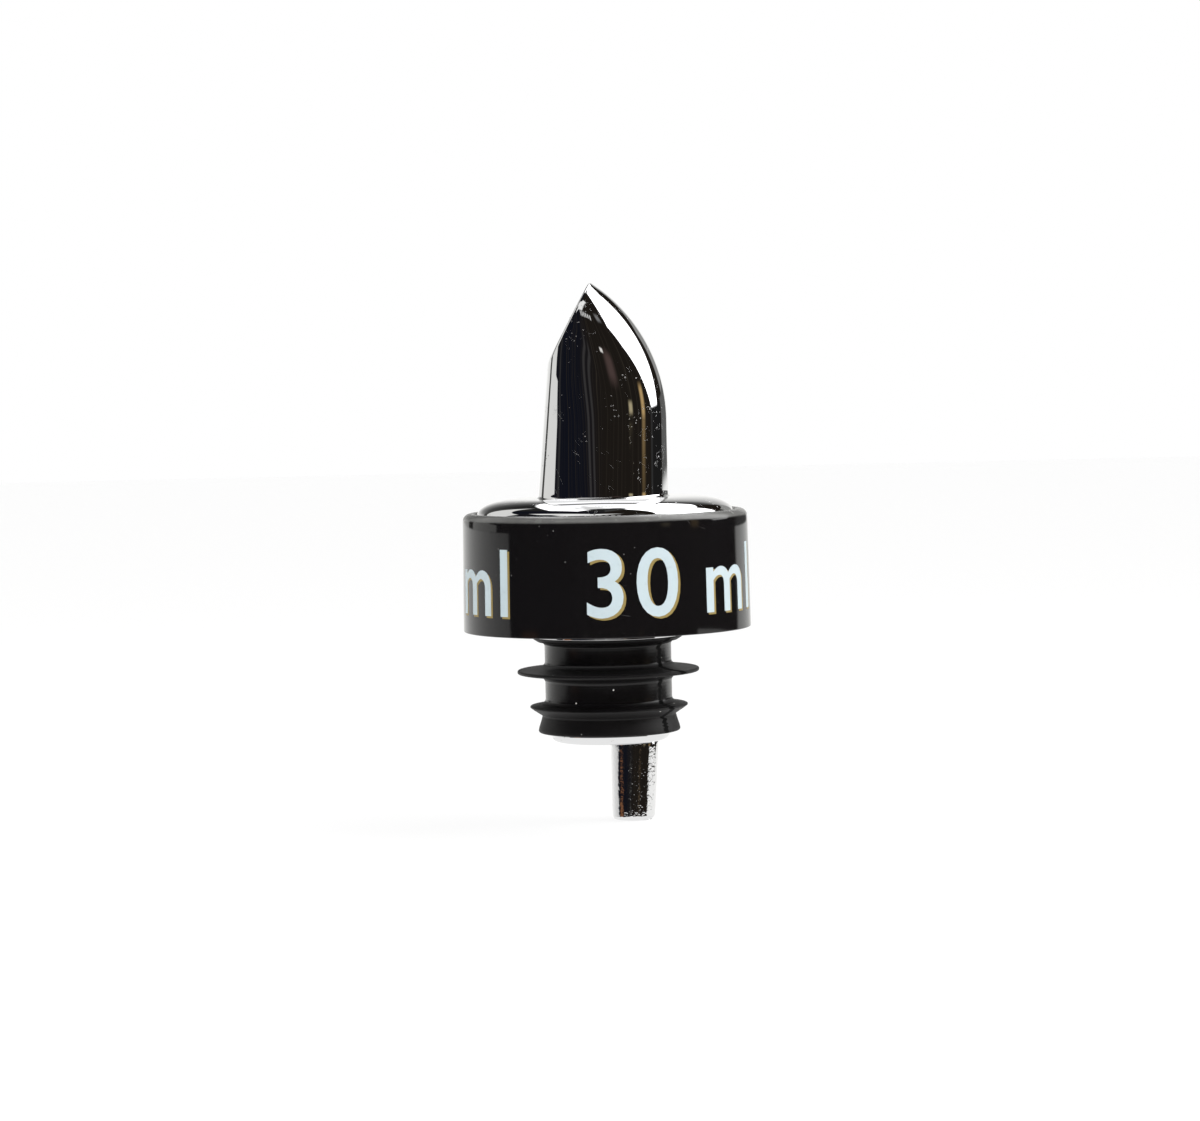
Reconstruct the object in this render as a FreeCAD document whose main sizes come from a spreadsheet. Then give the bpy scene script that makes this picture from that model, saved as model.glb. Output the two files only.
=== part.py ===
"""A measured liquor pourer for the neck of a bottle, in millimetres.

The origin is on the axis in the plane of the collar's underside, where the lip of the bottle stops.
+Z runs up to the tip of the spout, the mouth faces -X and the breather tube is set off to +X.
"""

import FreeCAD
import Part
import os
import Sketcher

DOC = FreeCAD.newDocument("measured_pourer")

# Driving dimensions. Heights are above the underside of the collar and depths are below it.
SIZES = {
    # printed collar
    "collar_top_radius": (17.4, "outer radius under the rounded rim"),
    "collar_draft": (0.2, "how much wider the collar is at its foot"),
    "collar_height": (14.4, "height of the collar"),
    "collar_rim_round": (1.15, "rounding of the outer top edge"),
    "collar_foot_round": (0.2, "rounding of the outer bottom edge"),
    "turning_gap": (0.1, "radial gap of the collar on the skirt"),
    "rim_wall": (1.4, "wall of the collar round the flange"),
    "foot_wall": (1.9, "wall of the collar round the base plate"),
    "side_gap": (0.3, "radial gap round the flange and the base plate"),
    "end_play": (0.15, "gap above and below the collar's inner lip"),
    # head: drum, flange and dome
    "flange_overhang": (1.1, "how far the flange stands out over the skirt"),
    "flange_sunk": (2.4, "depth of the flange's underside below the collar's rim"),
    "shoulder_height": (15.7, "height of the dome at its edge"),
    "shoulder_round": (1.7, "rounding of the flange's top edge"),
    "dome_height": (16.1, "height of the dome at the root of the spout"),
    "dome_wall": (1.7, "thickness of the dome over the drum"),
    "skirt_wall": (1.3, "wall of the skirt"),
    # spout
    "root_radius": (7.83, "radius of the spout at the dome"),
    "spout_wall": (1.2, "wall of the spout"),
    "heel_reach": (6.24, "distance of the mouth's heel from the axis"),
    "heel_height": (33.2, "height of the mouth's heel"),
    "tip_reach": (1.3, "distance of the spout's tip from the axis, on the mouth's side"),
    "arch_radius": (20.2, "radius of the arched back, seen from the side"),
    "arch_height": (25.5, "height at which the back turns into the arch"),
    "rim_round": (0.5, "rounding of the mouth's outer edge"),
    # air duct inside the spout
    "duct_radius": (2.1, "outer radius of the air duct"),
    "duct_top": (20.6, "height of the duct's closed top"),
    "vent_radius": (0.9, "radius of the vent through the back of the spout"),
    "vent_height": (18.9, "height of the vent"),
    # base plate, boss and core tube
    "plate_thick": (1.6, "thickness of the base plate"),
    "boss_radius": (9.4, "radius of the boss under the collar"),
    "boss_deep": (0.85, "depth of the boss"),
    "core_radius": (6.15, "outer radius of the core tube"),
    "core_bore": (5.2, "radius of the core tube's bore"),
    "spigot_wall": (1.3, "wall of the spigot that enters the skirt"),
    "spigot_tall": (2.8, "height of the spigot"),
    "groove_low": (0.8, "height of the gasket groove above the plate"),
    "groove_wide": (1.0, "width of the gasket groove"),
    "groove_deep": (0.74, "depth of the gasket groove"),
    "gasket_section": (0.36, "radius of the skirt gasket's section"),
    # cork
    "cork_flange_radius": (9.18, "radius of the cork's top flange"),
    "cork_flange_thick": (0.42, "thickness of the cork's top flange"),
    "cork_radius": (7.76, "radius of the cork's body"),
    "fin_radius": (11.14, "radius of the upper fin"),
    "fin_top_deep": (4.9, "depth of the upper fin's rim"),
    "fin_rim": (0.6, "width of the upper fin's rim"),
    "fin_root": (0.35, "rise of the upper fin from its rim to its root"),
    "lip_radius": (9.66, "radius of the lower fin"),
    "lip_deep": (9.35, "depth of the lower fin's rim"),
    "lip_rim": (0.25, "width of the lower fin's rim"),
    "lip_root": (0.25, "rise of the lower fin from its rim to its root"),
    "waist_radius": (8.19, "radius of the waist between the lower fin and the bead"),
    "waist_deep": (10.6, "depth of the waist"),
    "bead_radius": (8.69, "radius of the bead at the cork's end"),
    "bead_deep": (12.1, "depth of the bead"),
    "bead_band": (0.4, "width of the bead's widest part"),
    "cork_deep": (13.1, "depth of the cork's end"),
    "cork_end_radius": (8.2, "radius of the cork's end"),
    # end cap
    "end_radius": (7.5, "radius of the end cap's plate"),
    "end_thick": (0.65, "thickness of the end cap's plate"),
    "end_edge_round": (0.2, "rounding of the end plate's lower edge"),
    "plug_tall": (2.3, "height of the plug that enters the core tube"),
    "inlet_radius": (2.3, "radius of the liquid inlet"),
    "inlet_offset": (2.4, "distance of the inlet from the axis"),
    # breather tube and check valve
    "breather_offset": (3.0, "distance of the breather from the axis"),
    "breather_top_radius": (3.0, "outer radius of the breather at the end cap"),
    "breather_end_radius": (2.65, "outer radius of the breather at its end"),
    "breather_long": (9.8, "length of the breather below the end cap"),
    "breather_end_round": (0.6, "rounding of the breather's end"),
    "breather_bore": (1.9, "radius of the check ball's bore"),
    "neck_radius": (1.75, "outer radius of the breather's neck in the end cap"),
    "shoulder_drop": (2.55, "depth of the bore's shoulder below the end plate"),
    "bypass_wide": (0.8, "width of the slot that passes air by the check ball"),
    "bypass_tall": (0.9, "height of that slot"),
    "check_ball_radius": (1.5, "radius of the check ball"),
    "check_plug_long": (1.7, "length of the check seat"),
    "check_plug_inset": (0.25, "distance of the check seat from the breather's end"),
    "check_hole": (1.0, "radius of the hole through the check seat"),
    "check_cone": (0.45, "depth and width of the check seat's cone"),
    # air tube
    "air_tube_radius": (1.1, "outer radius of the air tube"),
    "air_tube_bore": (0.8, "bore radius of the air tube"),
    "air_tube_sunk": (1.2, "length of the air tube below the end plate"),
    "air_tube_entry": (1.3, "length of the air tube in the duct"),
    # valve seat
    "seat_flange_radius": (8.2, "radius of the valve seat's flange"),
    "seat_flange_thick": (1.4, "thickness of the valve seat's flange"),
    "seat_spigot_radius": (6.95, "radius of the valve seat's spigot"),
    "seat_spigot_tall": (1.5, "height of the valve seat's spigot"),
    "throat_radius": (2.1, "radius of the throat"),
    "ring_radius": (2.6, "radius of the seat ring's circle"),
    "ring_section": (0.48, "radius of the seat ring's section"),
    "grommet_radius": (1.85, "outer radius of the air seal"),
    "grommet_tall": (1.1, "height of the air seal"),
    # timer cup and ball
    "cup_offset": (2.4, "distance of the cup from the axis"),
    "timer_ball_radius": (3.175, "radius of the timer ball"),
    "ball_gap": (0.1, "radial gap round the timer ball"),
    "cup_wall": (0.68, "wall of the cup"),
    "cup_raised": (0.9, "height of the cup's underside above the base plate"),
    "cup_floor": (1.0, "thickness of the cup's floor"),
    "cup_deep": (5.0, "depth of the cup"),
    "rib_thick": (1.2, "thickness of a rib"),
    "rib_reach": (7.0, "distance of a rib's outer edge from the cup's axis"),
    "bleed_radius": (0.4, "radius of the bleed hole"),
    "plug_radius": (1.3, "radius of the metering plug"),
    "plug_head_radius": (1.9, "radius of the metering plug's head"),
    "plug_head_thick": (0.4, "thickness of the metering plug's head"),
    # fits
    "press_gap": (0.03, "radial gap of a press or slip fit"),
    "rest_gap": (0.03, "gap between a ball at rest and its seat"),
    # cutting solids
    "overrun": (1.0, "how far a cutting solid runs on past the piece"),
    "arch_cutter": (1.6, "reach of the arch's cutter, in radii of the arch"),
    "root_sunk": (1.2, "depth of the spout's form below the dome"),
}

RIB_COUNT = 3
ARCH_TURN = 120  # degrees that the arch's cutter turns through
NEAR = 1e-4  # how near an edge's radius and height are to those asked for

# Places that follow from the driving dimensions.
PLACES = {
    "collar_foot_radius": "sizes.collar_top_radius + sizes.collar_draft",
    "flange_bore": "sizes.collar_top_radius - sizes.rim_wall",
    "plate_bore": "places.collar_foot_radius - sizes.foot_wall",
    "flange_radius": "places.flange_bore - sizes.side_gap",
    "plate_radius": "places.plate_bore - sizes.side_gap",
    "skirt_radius": "places.flange_radius - sizes.flange_overhang",
    "flange_under": "sizes.collar_height - sizes.flange_sunk",
    "ceiling": "sizes.dome_height - sizes.dome_wall",
    "dome_peak": "sizes.dome_height + sizes.root_radius"
    " * (sizes.dome_height - sizes.shoulder_height) / (places.flange_radius - sizes.root_radius)",
    "skirt_bore": "places.skirt_radius - sizes.skirt_wall",
    "arch_centre": "sizes.root_radius - sizes.arch_radius",
    "tip_height": "sizes.arch_height + sqrt(pow(sizes.arch_radius; 2)"
    " - pow(sizes.tip_reach + places.arch_centre; 2))",
    "taper": "(sizes.root_radius - sizes.heel_reach) / (sizes.heel_height - sizes.dome_height)",
    "half_taper": "atan(places.taper) / 2",
    "apex_height": "sizes.dome_height + 2 * sizes.root_radius / places.taper",
    "form_low": "sizes.dome_height - sizes.root_sunk",
    "form_high": "places.tip_height + sizes.overrun",
    "mouth_rise": "places.tip_height - sizes.heel_height",
    "mouth_run": "sizes.heel_reach - sizes.tip_reach",
    "apex_along": "(places.apex_height - places.form_low) / cos(places.half_taper)",
    "form_foot": "sizes.root_radius - (places.apex_height - places.form_low) * tan(places.half_taper)",
    "seat_top": "places.ceiling + sizes.seat_spigot_tall",
    "seat_under": "places.ceiling - sizes.seat_flange_thick",
    "spigot_radius": "places.skirt_bore - sizes.press_gap",
    "groove_floor": "places.spigot_radius - sizes.groove_deep",
    "groove_base": "sizes.plate_thick + sizes.groove_low",
    "end_under": "-(sizes.cork_deep + sizes.end_thick)",
    "plug_top": "sizes.plug_tall - sizes.cork_deep",
    "breather_end": "places.end_under - sizes.breather_long",
    "bore_shoulder": "places.end_under - sizes.shoulder_drop",
    "tube_bore": "sizes.air_tube_radius + sizes.press_gap",
    "check_plug_low": "places.breather_end + sizes.check_plug_inset",
    "check_plug_top": "places.check_plug_low + sizes.check_plug_long",
    "check_ball_rest": "places.check_plug_top - sizes.check_cone - sizes.check_hole"
    " + sizes.check_ball_radius * sqrt(2) + sizes.rest_gap",
    "cup_bore": "sizes.timer_ball_radius + sizes.ball_gap",
    "cup_radius": "places.cup_bore + sizes.cup_wall",
    "cup_under": "sizes.plate_thick + sizes.cup_raised",
    "cup_floor_top": "places.cup_under + sizes.cup_floor",
    "timer_ball_rest": "places.cup_floor_top + sizes.timer_ball_radius + sizes.rest_gap",
    "ring_pocket_radius": "sizes.ring_radius + sizes.ring_section + sizes.press_gap",
    "ring_pocket_deep": "sizes.ring_section * 2 + sizes.press_gap",
}


def make_sheet(name, cells):
    """Add a sheet with one named value a row."""
    sheet = DOC.addObject("Spreadsheet::Sheet", name)
    for row, (alias, text) in enumerate(cells.items(), start=1):
        sheet.set(f"A{row}", alias)
        sheet.set(f"B{row}", text)
        sheet.setAlias(f"B{row}", alias)
    return sheet


def value(expression):
    """Work out an expression on the two sheets."""
    return float(places_sheet.evalExpression(expression))


def start_body(name):
    """Start one piece that is built up feature by feature."""
    body = DOC.addObject("PartDesign::Body", f"{name}_body")
    body.Label = name
    return body


def origin_plane(body, role):
    """Find one of the body's own origin planes."""
    return next(plane for plane in body.Origin.OriginFeatures if plane.Role == role)


def attached_sketch(body, name, role):
    """Add a sketch on one of the body's origin planes."""
    sketch = body.newObject("Sketcher::SketchObject", name)
    sketch.AttachmentSupport = [(origin_plane(body, role), "")]
    sketch.MapMode = "FlatFace"
    return sketch


def pin_point(sketch, geometry, point, across, up):
    """Hold one point of a sketch at two expressions."""
    for kind, expression, axis in (("DistanceX", across, -2), ("DistanceY", up, -1)):
        if expression == "0":
            sketch.addConstraint(Sketcher.Constraint("PointOnObject", geometry, point, axis))
            continue
        index = sketch.addConstraint(Sketcher.Constraint(kind, geometry, point, value(expression)))
        sketch.setExpression(f"Constraints[{index}]", expression)


def draw_outline(sketch, corners):
    """Draw a closed outline through corners given as pairs of expressions."""
    points = [FreeCAD.Vector(value(across), value(up), 0) for across, up in corners]
    for start, end in zip(points, points[1:] + points[:1]):
        sketch.addGeometry(Part.LineSegment(start, end), False)
    for index, (across, up) in enumerate(corners):
        following = (index + 1) % len(corners)
        sketch.addConstraint(Sketcher.Constraint("Coincident", index, 2, following, 1))
        pin_point(sketch, index, 1, across, up)


def turn(body, name, corners):
    """Turn a profile of radius and height round the body's axis."""
    sketch = attached_sketch(body, f"{name}_profile", "XZ_Plane")
    draw_outline(sketch, corners)
    feature = body.newObject("PartDesign::Revolution", name)
    feature.Profile = sketch
    feature.ReferenceAxis = (sketch, ["V_Axis"])
    feature.Angle = 360
    DOC.recompute()
    return feature


def drill(body, name, radius, low, high, across="0"):
    """Drill a round hole along Z from one height to another, and check that it cuts."""
    before = body.Shape.Volume
    feature = body.newObject("PartDesign::SubtractiveCylinder", name)
    feature.setExpression("Radius", radius)
    feature.setExpression("Height", f"{high} - ({low})")
    feature.setExpression("Placement.Base.x", across)
    feature.setExpression("Placement.Base.z", low)
    DOC.recompute()
    if body.Shape.Volume >= before:
        raise RuntimeError(f"{name} cuts nothing")
    return feature


def circle_edges(shape, rings):
    """Name the circular edges that have one of the given radii and heights."""
    wanted = [(value(radius), value(height)) for radius, height in rings]
    names = []
    for number, edge in enumerate(shape.Edges, start=1):
        if edge.Curve.TypeId != "Part::GeomCircle":
            continue
        found = (edge.Curve.Radius, edge.Curve.Center.z)
        if any(abs(found[0] - radius) < NEAR and abs(found[1] - height) < NEAR for radius, height in wanted):
            names.append(f"Edge{number}")
    return names


def round_edges(body, name, edge_names, radius):
    """Fillet edges of the body's last feature."""
    base = body.Tip
    feature = body.newObject("PartDesign::Fillet", name)
    feature.Base = (base, edge_names)
    feature.setExpression("Radius", radius)
    DOC.recompute()
    return feature


def plain_solid(kind, name, **expressions):
    """Add a primitive solid whose properties follow expressions."""
    solid = DOC.addObject(kind, name)
    for path, expression in expressions.items():
        solid.setExpression(path.replace("__", "."), expression)
    return solid


def cut_from(name, base, tools):
    """Take several solids away from one, in turn."""
    for number, tool in enumerate(tools, start=1):
        result = DOC.addObject("Part::Cut", f"{name}_{number}" if number < len(tools) else f"{name}_solid")
        result.Base = base
        result.Tool = tool
        base = result
    base.Label = name
    DOC.recompute()
    return base


def make_collar():
    """The printed ring, trapped by an inner lip between the flange and the base plate."""
    collar = start_body("print_collar")
    lip_bore = "places.skirt_radius + sizes.turning_gap"
    lip_top = "places.flange_under - sizes.end_play"
    lip_low = "sizes.plate_thick + sizes.end_play"
    ring = turn(
        collar,
        "ring",
        [
            ("places.plate_bore", "0"),
            ("places.collar_foot_radius", "0"),
            ("sizes.collar_top_radius", "sizes.collar_height"),
            ("places.flange_bore", "sizes.collar_height"),
            ("places.flange_bore", lip_top),
            (lip_bore, lip_top),
            (lip_bore, lip_low),
            ("places.plate_bore", lip_low),
        ],
    )
    rim = circle_edges(ring.Shape, [("sizes.collar_top_radius", "sizes.collar_height")])
    rounded = round_edges(collar, "rim_round", rim, "sizes.collar_rim_round")
    foot = circle_edges(rounded.Shape, [("places.collar_foot_radius", "0")])
    round_edges(collar, "foot_round", foot, "sizes.collar_foot_round")
    return collar


def leaning_cone(body, wall):
    """The cone of the spout's sides, which leans so that its back stays upright."""
    cone = body.newObject("PartDesign::AdditiveCone", "cone")
    inset = f"{wall} / cos(places.half_taper)"
    long = "(places.form_high - places.form_low) / cos(places.half_taper)"
    foot_radius = f"places.apex_along * tan(places.half_taper) - {inset}"
    cone.setExpression("Radius1", foot_radius)
    cone.setExpression("Radius2", f"{foot_radius} - {long} * tan(places.half_taper)")
    cone.setExpression("Height", long)
    cone.Placement.Rotation = FreeCAD.Rotation(FreeCAD.Vector(0, 1, 0), 1)
    cone.setExpression("Placement.Rotation.Angle", "places.half_taper")
    cone.setExpression("Placement.Base.x", "places.form_foot")
    cone.setExpression("Placement.Base.z", "places.form_low")
    DOC.recompute()
    return cone


def pocket_through(body, sketch, name):
    """Cut a side profile right through the body, to both sides."""
    before = body.Shape.Volume
    pocket = body.newObject("PartDesign::Pocket", name)
    pocket.Profile = sketch
    pocket.SideType = "Symmetric"
    pocket.setExpression("Length", "places.flange_radius * 2")
    DOC.recompute()
    if body.Shape.Volume >= before:
        raise RuntimeError(f"{name} cuts nothing")
    return pocket


def arch_groove(body, wall):
    """Cut away what lies outside the round, bent tube that the spout's back follows."""
    before = body.Shape.Volume
    sketch = attached_sketch(body, "arch_profile", "XY_Plane")
    sketch.setExpression("AttachmentOffset.Base.z", "sizes.arch_height")
    far = "places.arch_centre + sizes.arch_radius * sizes.arch_cutter"
    side = "places.flange_radius"
    near = "places.arch_centre"
    corners = [(near, f"-{side}"), (far, f"-{side}"), (far, side), (near, side)]
    draw_outline(sketch, corners)
    radius = f"sizes.root_radius - {wall}"
    sketch.addGeometry(Part.Circle(FreeCAD.Vector(), FreeCAD.Vector(0, 0, 1), value(radius)), False)
    sketch.addConstraint(Sketcher.Constraint("Coincident", 4, 3, -1, 1))
    index = sketch.addConstraint(Sketcher.Constraint("Radius", 4, value(radius)))
    sketch.setExpression(f"Constraints[{index}]", radius)
    groove = body.newObject("PartDesign::Groove", "arch_cut")
    groove.Profile = sketch
    groove.ReferenceAxis = (sketch, ["Edge4"])
    groove.Angle = ARCH_TURN
    DOC.recompute()
    if body.Shape.Volume >= before:
        raise RuntimeError("arch_cut cuts nothing")
    return groove


def mouth_profile(body, proud):
    """The side profile of what lies beyond the slanted mouth, moved out by a distance."""
    sketch = attached_sketch(body, "mouth_profile", "XZ_Plane")
    low = "sizes.heel_height - places.mouth_rise"
    high = "places.tip_height + places.mouth_rise"
    below = f"-sizes.heel_reach - places.mouth_run - {proud}"
    above = f"-sizes.tip_reach + places.mouth_run - {proud}"
    corners = [(below, low), (above, high), (below, high)]
    draw_outline(sketch, corners)
    return sketch


def mouth_edges(shape):
    """Name the edges round the flat face of the mouth."""
    outward = FreeCAD.Vector(-value("places.mouth_rise"), 0, value("places.mouth_run")).normalize()
    flat = [face for face in shape.Faces if face.Surface.TypeId == "Part::GeomPlane"]
    mouth = max(flat, key=lambda face: face.normalAt(0, 0).dot(outward))
    return [
        f"Edge{number}"
        for number, edge in enumerate(shape.Edges, start=1)
        if any(edge.isSame(other) for other in mouth.Edges)
    ]


def make_spout_form(name, wall, proud):
    """The spout as a solid form: a leaning cone that bends over at the back, cut off at the mouth."""
    form = start_body(name)
    leaning_cone(form, wall)
    arch_groove(form, wall)
    pocket_through(form, mouth_profile(form, proud), "mouth_cut")
    return form


def make_drum():
    """The dome, flange and skirt of the head, as one turned shell."""
    drum = start_body("drum")
    shell = turn(
        drum,
        "shell",
        [
            ("0", "places.ceiling"),
            ("places.skirt_bore", "places.ceiling"),
            ("places.skirt_bore", "sizes.plate_thick"),
            ("places.skirt_radius", "sizes.plate_thick"),
            ("places.skirt_radius", "places.flange_under"),
            ("places.flange_radius", "places.flange_under"),
            ("places.flange_radius", "sizes.shoulder_height"),
            ("0", "places.dome_peak"),
        ],
    )
    shoulder = circle_edges(shell.Shape, [("places.flange_radius", "sizes.shoulder_height")])
    round_edges(drum, "shoulder_round", shoulder, "sizes.shoulder_round")
    return drum


def make_head():
    """The chromed head: drum and hooded spout in one shell, with an air duct up its back."""
    outer = make_spout_form("spout_outer", "0", "0")
    round_edges(outer, "mouth_edge", mouth_edges(outer.Shape), "sizes.rim_round")
    inner = make_spout_form("spout_inner", "sizes.spout_wall", "sizes.spout_wall")
    casting = DOC.addObject("Part::MultiFuse", "casting")
    casting.Shapes = [make_drum(), outer]
    round_duct = plain_solid(
        "Part::Cylinder",
        "round_duct",
        Radius="sizes.duct_radius",
        Height="sizes.duct_top - places.ceiling",
        Placement__Base__x="sizes.breather_offset",
        Placement__Base__z="places.ceiling",
    )
    web = plain_solid(
        "Part::Box",
        "duct_web",
        Length="sizes.root_radius - sizes.breather_offset",
        Width="sizes.duct_radius * 2",
        Height="sizes.duct_top - places.ceiling",
        Placement__Base__x="sizes.breather_offset",
        Placement__Base__y="-sizes.duct_radius",
        Placement__Base__z="places.ceiling",
    )
    duct = DOC.addObject("Part::MultiFuse", "duct")
    duct.Shapes = [round_duct, web]
    passage = DOC.addObject("Part::Cut", "spout_passage")
    passage.Base = inner
    passage.Tool = duct
    seat_bore = plain_solid(
        "Part::Cylinder",
        "seat_bore",
        Radius="sizes.seat_spigot_radius + sizes.press_gap",
        Height="sizes.seat_spigot_tall + sizes.overrun",
        Placement__Base__z="places.ceiling - sizes.overrun",
    )
    duct_bore = plain_solid(
        "Part::Cylinder",
        "duct_bore",
        Radius="places.tube_bore",
        Height="sizes.vent_height + sizes.vent_radius - places.ceiling",
        Placement__Base__x="sizes.breather_offset",
        Placement__Base__z="places.ceiling",
    )
    vent = plain_solid(
        "Part::Cylinder",
        "vent",
        Radius="sizes.vent_radius",
        Height="sizes.root_radius",
        Placement__Base__x="sizes.breather_offset",
        Placement__Base__z="sizes.vent_height",
    )
    vent.Placement.Rotation = FreeCAD.Rotation(FreeCAD.Vector(0, 1, 0), 90)
    return cut_from("spout_head", casting, [passage, seat_bore, duct_bore, vent])


def make_stopper_core():
    """The base plate with its spigot, the boss under the collar and the tube that carries the cork."""
    core = start_body("stopper_core")
    spigot_bore = "places.spigot_radius - sizes.spigot_wall"
    spigot_top = "sizes.plate_thick + sizes.spigot_tall"
    groove_top = "places.groove_base + sizes.groove_wide"
    turn(
        core,
        "plate_and_tube",
        [
            ("sizes.core_bore", "-sizes.cork_deep"),
            ("sizes.core_radius", "-sizes.cork_deep"),
            ("sizes.core_radius", "-sizes.boss_deep"),
            ("sizes.boss_radius", "-sizes.boss_deep"),
            ("sizes.boss_radius", "0"),
            ("places.plate_radius", "0"),
            ("places.plate_radius", "sizes.plate_thick"),
            ("places.spigot_radius", "sizes.plate_thick"),
            ("places.spigot_radius", "places.groove_base"),
            ("places.groove_floor", "places.groove_base"),
            ("places.groove_floor", groove_top),
            ("places.spigot_radius", groove_top),
            ("places.spigot_radius", spigot_top),
            (spigot_bore, spigot_top),
            (spigot_bore, "sizes.plate_thick"),
            ("sizes.core_bore", "sizes.plate_thick"),
        ],
    )
    return core


def make_skirt_gasket():
    """The ring that seals the head to the base plate."""
    gasket = plain_solid(
        "Part::Torus",
        "gasket_ring",
        Radius1="places.skirt_bore - sizes.gasket_section - sizes.press_gap / 2",
        Radius2="sizes.gasket_section",
        Placement__Base__z="places.groove_base + sizes.groove_wide / 2",
    )
    gasket.Label = "skirt_gasket"
    return gasket


def make_cork():
    """The rubber stopper, with a flange, a broad fin, a thin fin and a bead."""
    cork = start_body("cork_sleeve")
    bore = "sizes.core_radius + sizes.press_gap"
    flange_under = "-(sizes.boss_deep + sizes.cork_flange_thick)"
    turn(
        cork,
        "moulding",
        [
            (bore, "-sizes.boss_deep"),
            ("sizes.cork_flange_radius", "-sizes.boss_deep"),
            ("sizes.cork_flange_radius", flange_under),
            ("sizes.cork_radius", f"{flange_under} - sizes.cork_flange_thick"),
            ("sizes.cork_radius", "sizes.fin_root - sizes.fin_top_deep"),
            ("sizes.fin_radius", "-sizes.fin_top_deep"),
            ("sizes.fin_radius", "-(sizes.fin_top_deep + sizes.fin_rim)"),
            ("sizes.cork_radius", "-(sizes.fin_top_deep + sizes.fin_rim + sizes.fin_root)"),
            ("sizes.cork_radius", "sizes.lip_root - sizes.lip_deep"),
            ("sizes.lip_radius", "-sizes.lip_deep"),
            ("sizes.lip_radius", "-(sizes.lip_deep + sizes.lip_rim)"),
            ("sizes.waist_radius", "-sizes.waist_deep"),
            ("sizes.bead_radius", "-sizes.bead_deep"),
            ("sizes.bead_radius", "-(sizes.bead_deep + sizes.bead_band)"),
            ("sizes.cork_end_radius", "-sizes.cork_deep"),
            (bore, "-sizes.cork_deep"),
        ],
    )
    return cork


def make_end_cap():
    """The plate that closes the core tube and holds the cork, with the inlet and the breather's socket."""
    cap = start_body("end_cap")
    plug_radius = "sizes.core_bore - sizes.press_gap"
    turned = turn(
        cap,
        "plate_and_plug",
        [
            ("0", "places.end_under"),
            ("sizes.end_radius", "places.end_under"),
            ("sizes.end_radius", "-sizes.cork_deep"),
            (plug_radius, "-sizes.cork_deep"),
            (plug_radius, "places.plug_top"),
            ("0", "places.plug_top"),
        ],
    )
    edge = circle_edges(turned.Shape, [("sizes.end_radius", "places.end_under")])
    round_edges(cap, "plate_edge", edge, "sizes.end_edge_round")
    low = "places.end_under - sizes.overrun"
    high = "places.plug_top + sizes.overrun"
    drill(cap, "inlet", "sizes.inlet_radius", low, high, "-sizes.inlet_offset")
    socket = "sizes.neck_radius + sizes.press_gap"
    drill(cap, "breather_socket", socket, low, high, "sizes.breather_offset")
    return cap


def make_breather():
    """The offset tube that lets air down into the bottle, with the check ball's bore in it."""
    breather = start_body("breather_tube")
    turned = turn(
        breather,
        "tube",
        [
            ("sizes.breather_bore", "places.breather_end"),
            ("sizes.breather_end_radius", "places.breather_end"),
            ("sizes.breather_top_radius", "places.end_under"),
            ("sizes.neck_radius", "places.end_under"),
            ("sizes.neck_radius", "places.plug_top"),
            ("places.tube_bore", "places.plug_top"),
            ("places.tube_bore", "places.bore_shoulder"),
            ("sizes.breather_bore", "places.bore_shoulder"),
        ],
    )
    end = circle_edges(turned.Shape, [("sizes.breather_end_radius", "places.breather_end")])
    round_edges(breather, "end_round", end, "sizes.breather_end_round")
    bypass = breather.newObject("PartDesign::SubtractiveBox", "bypass")
    bypass.setExpression("Length", "sizes.breather_bore * 2")
    bypass.setExpression("Width", "sizes.bypass_wide")
    bypass.setExpression("Height", "sizes.bypass_tall")
    bypass.setExpression("Placement.Base.x", "-sizes.breather_bore")
    bypass.setExpression("Placement.Base.y", "-sizes.bypass_wide / 2")
    bypass.setExpression("Placement.Base.z", "places.bore_shoulder")
    breather.setExpression("Placement.Base.x", "sizes.breather_offset")
    return breather


def make_check_seat():
    """The plug in the end of the breather, with the cone that the check ball rests on."""
    seat = start_body("check_seat")
    plug_radius = "sizes.breather_bore - sizes.press_gap"
    turn(
        seat,
        "plug",
        [
            ("sizes.check_hole", "places.check_plug_low"),
            (plug_radius, "places.check_plug_low"),
            (plug_radius, "places.check_plug_top"),
            ("sizes.check_hole + sizes.check_cone", "places.check_plug_top"),
            ("sizes.check_hole", "places.check_plug_top - sizes.check_cone"),
        ],
    )
    seat.setExpression("Placement.Base.x", "sizes.breather_offset")
    return seat


def make_ball(label, radius, across, height):
    """A steel ball, resting."""
    ball = plain_solid(
        "Part::Sphere",
        f"{label}_sphere",
        Radius=radius,
        Placement__Base__x=across,
        Placement__Base__z=height,
    )
    ball.Label = label
    return ball


def make_air_tube():
    """The thin tube from the duct in the head down to the breather."""
    low = "places.end_under - sizes.air_tube_sunk"
    high = "places.seat_top + sizes.air_tube_entry"
    tube = start_body("air_tube")
    turn(
        tube,
        "pipe",
        [
            ("sizes.air_tube_bore", low),
            ("sizes.air_tube_radius", low),
            ("sizes.air_tube_radius", high),
            ("sizes.air_tube_bore", high),
        ],
    )
    tube.setExpression("Placement.Base.x", "sizes.breather_offset")
    return tube


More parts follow.
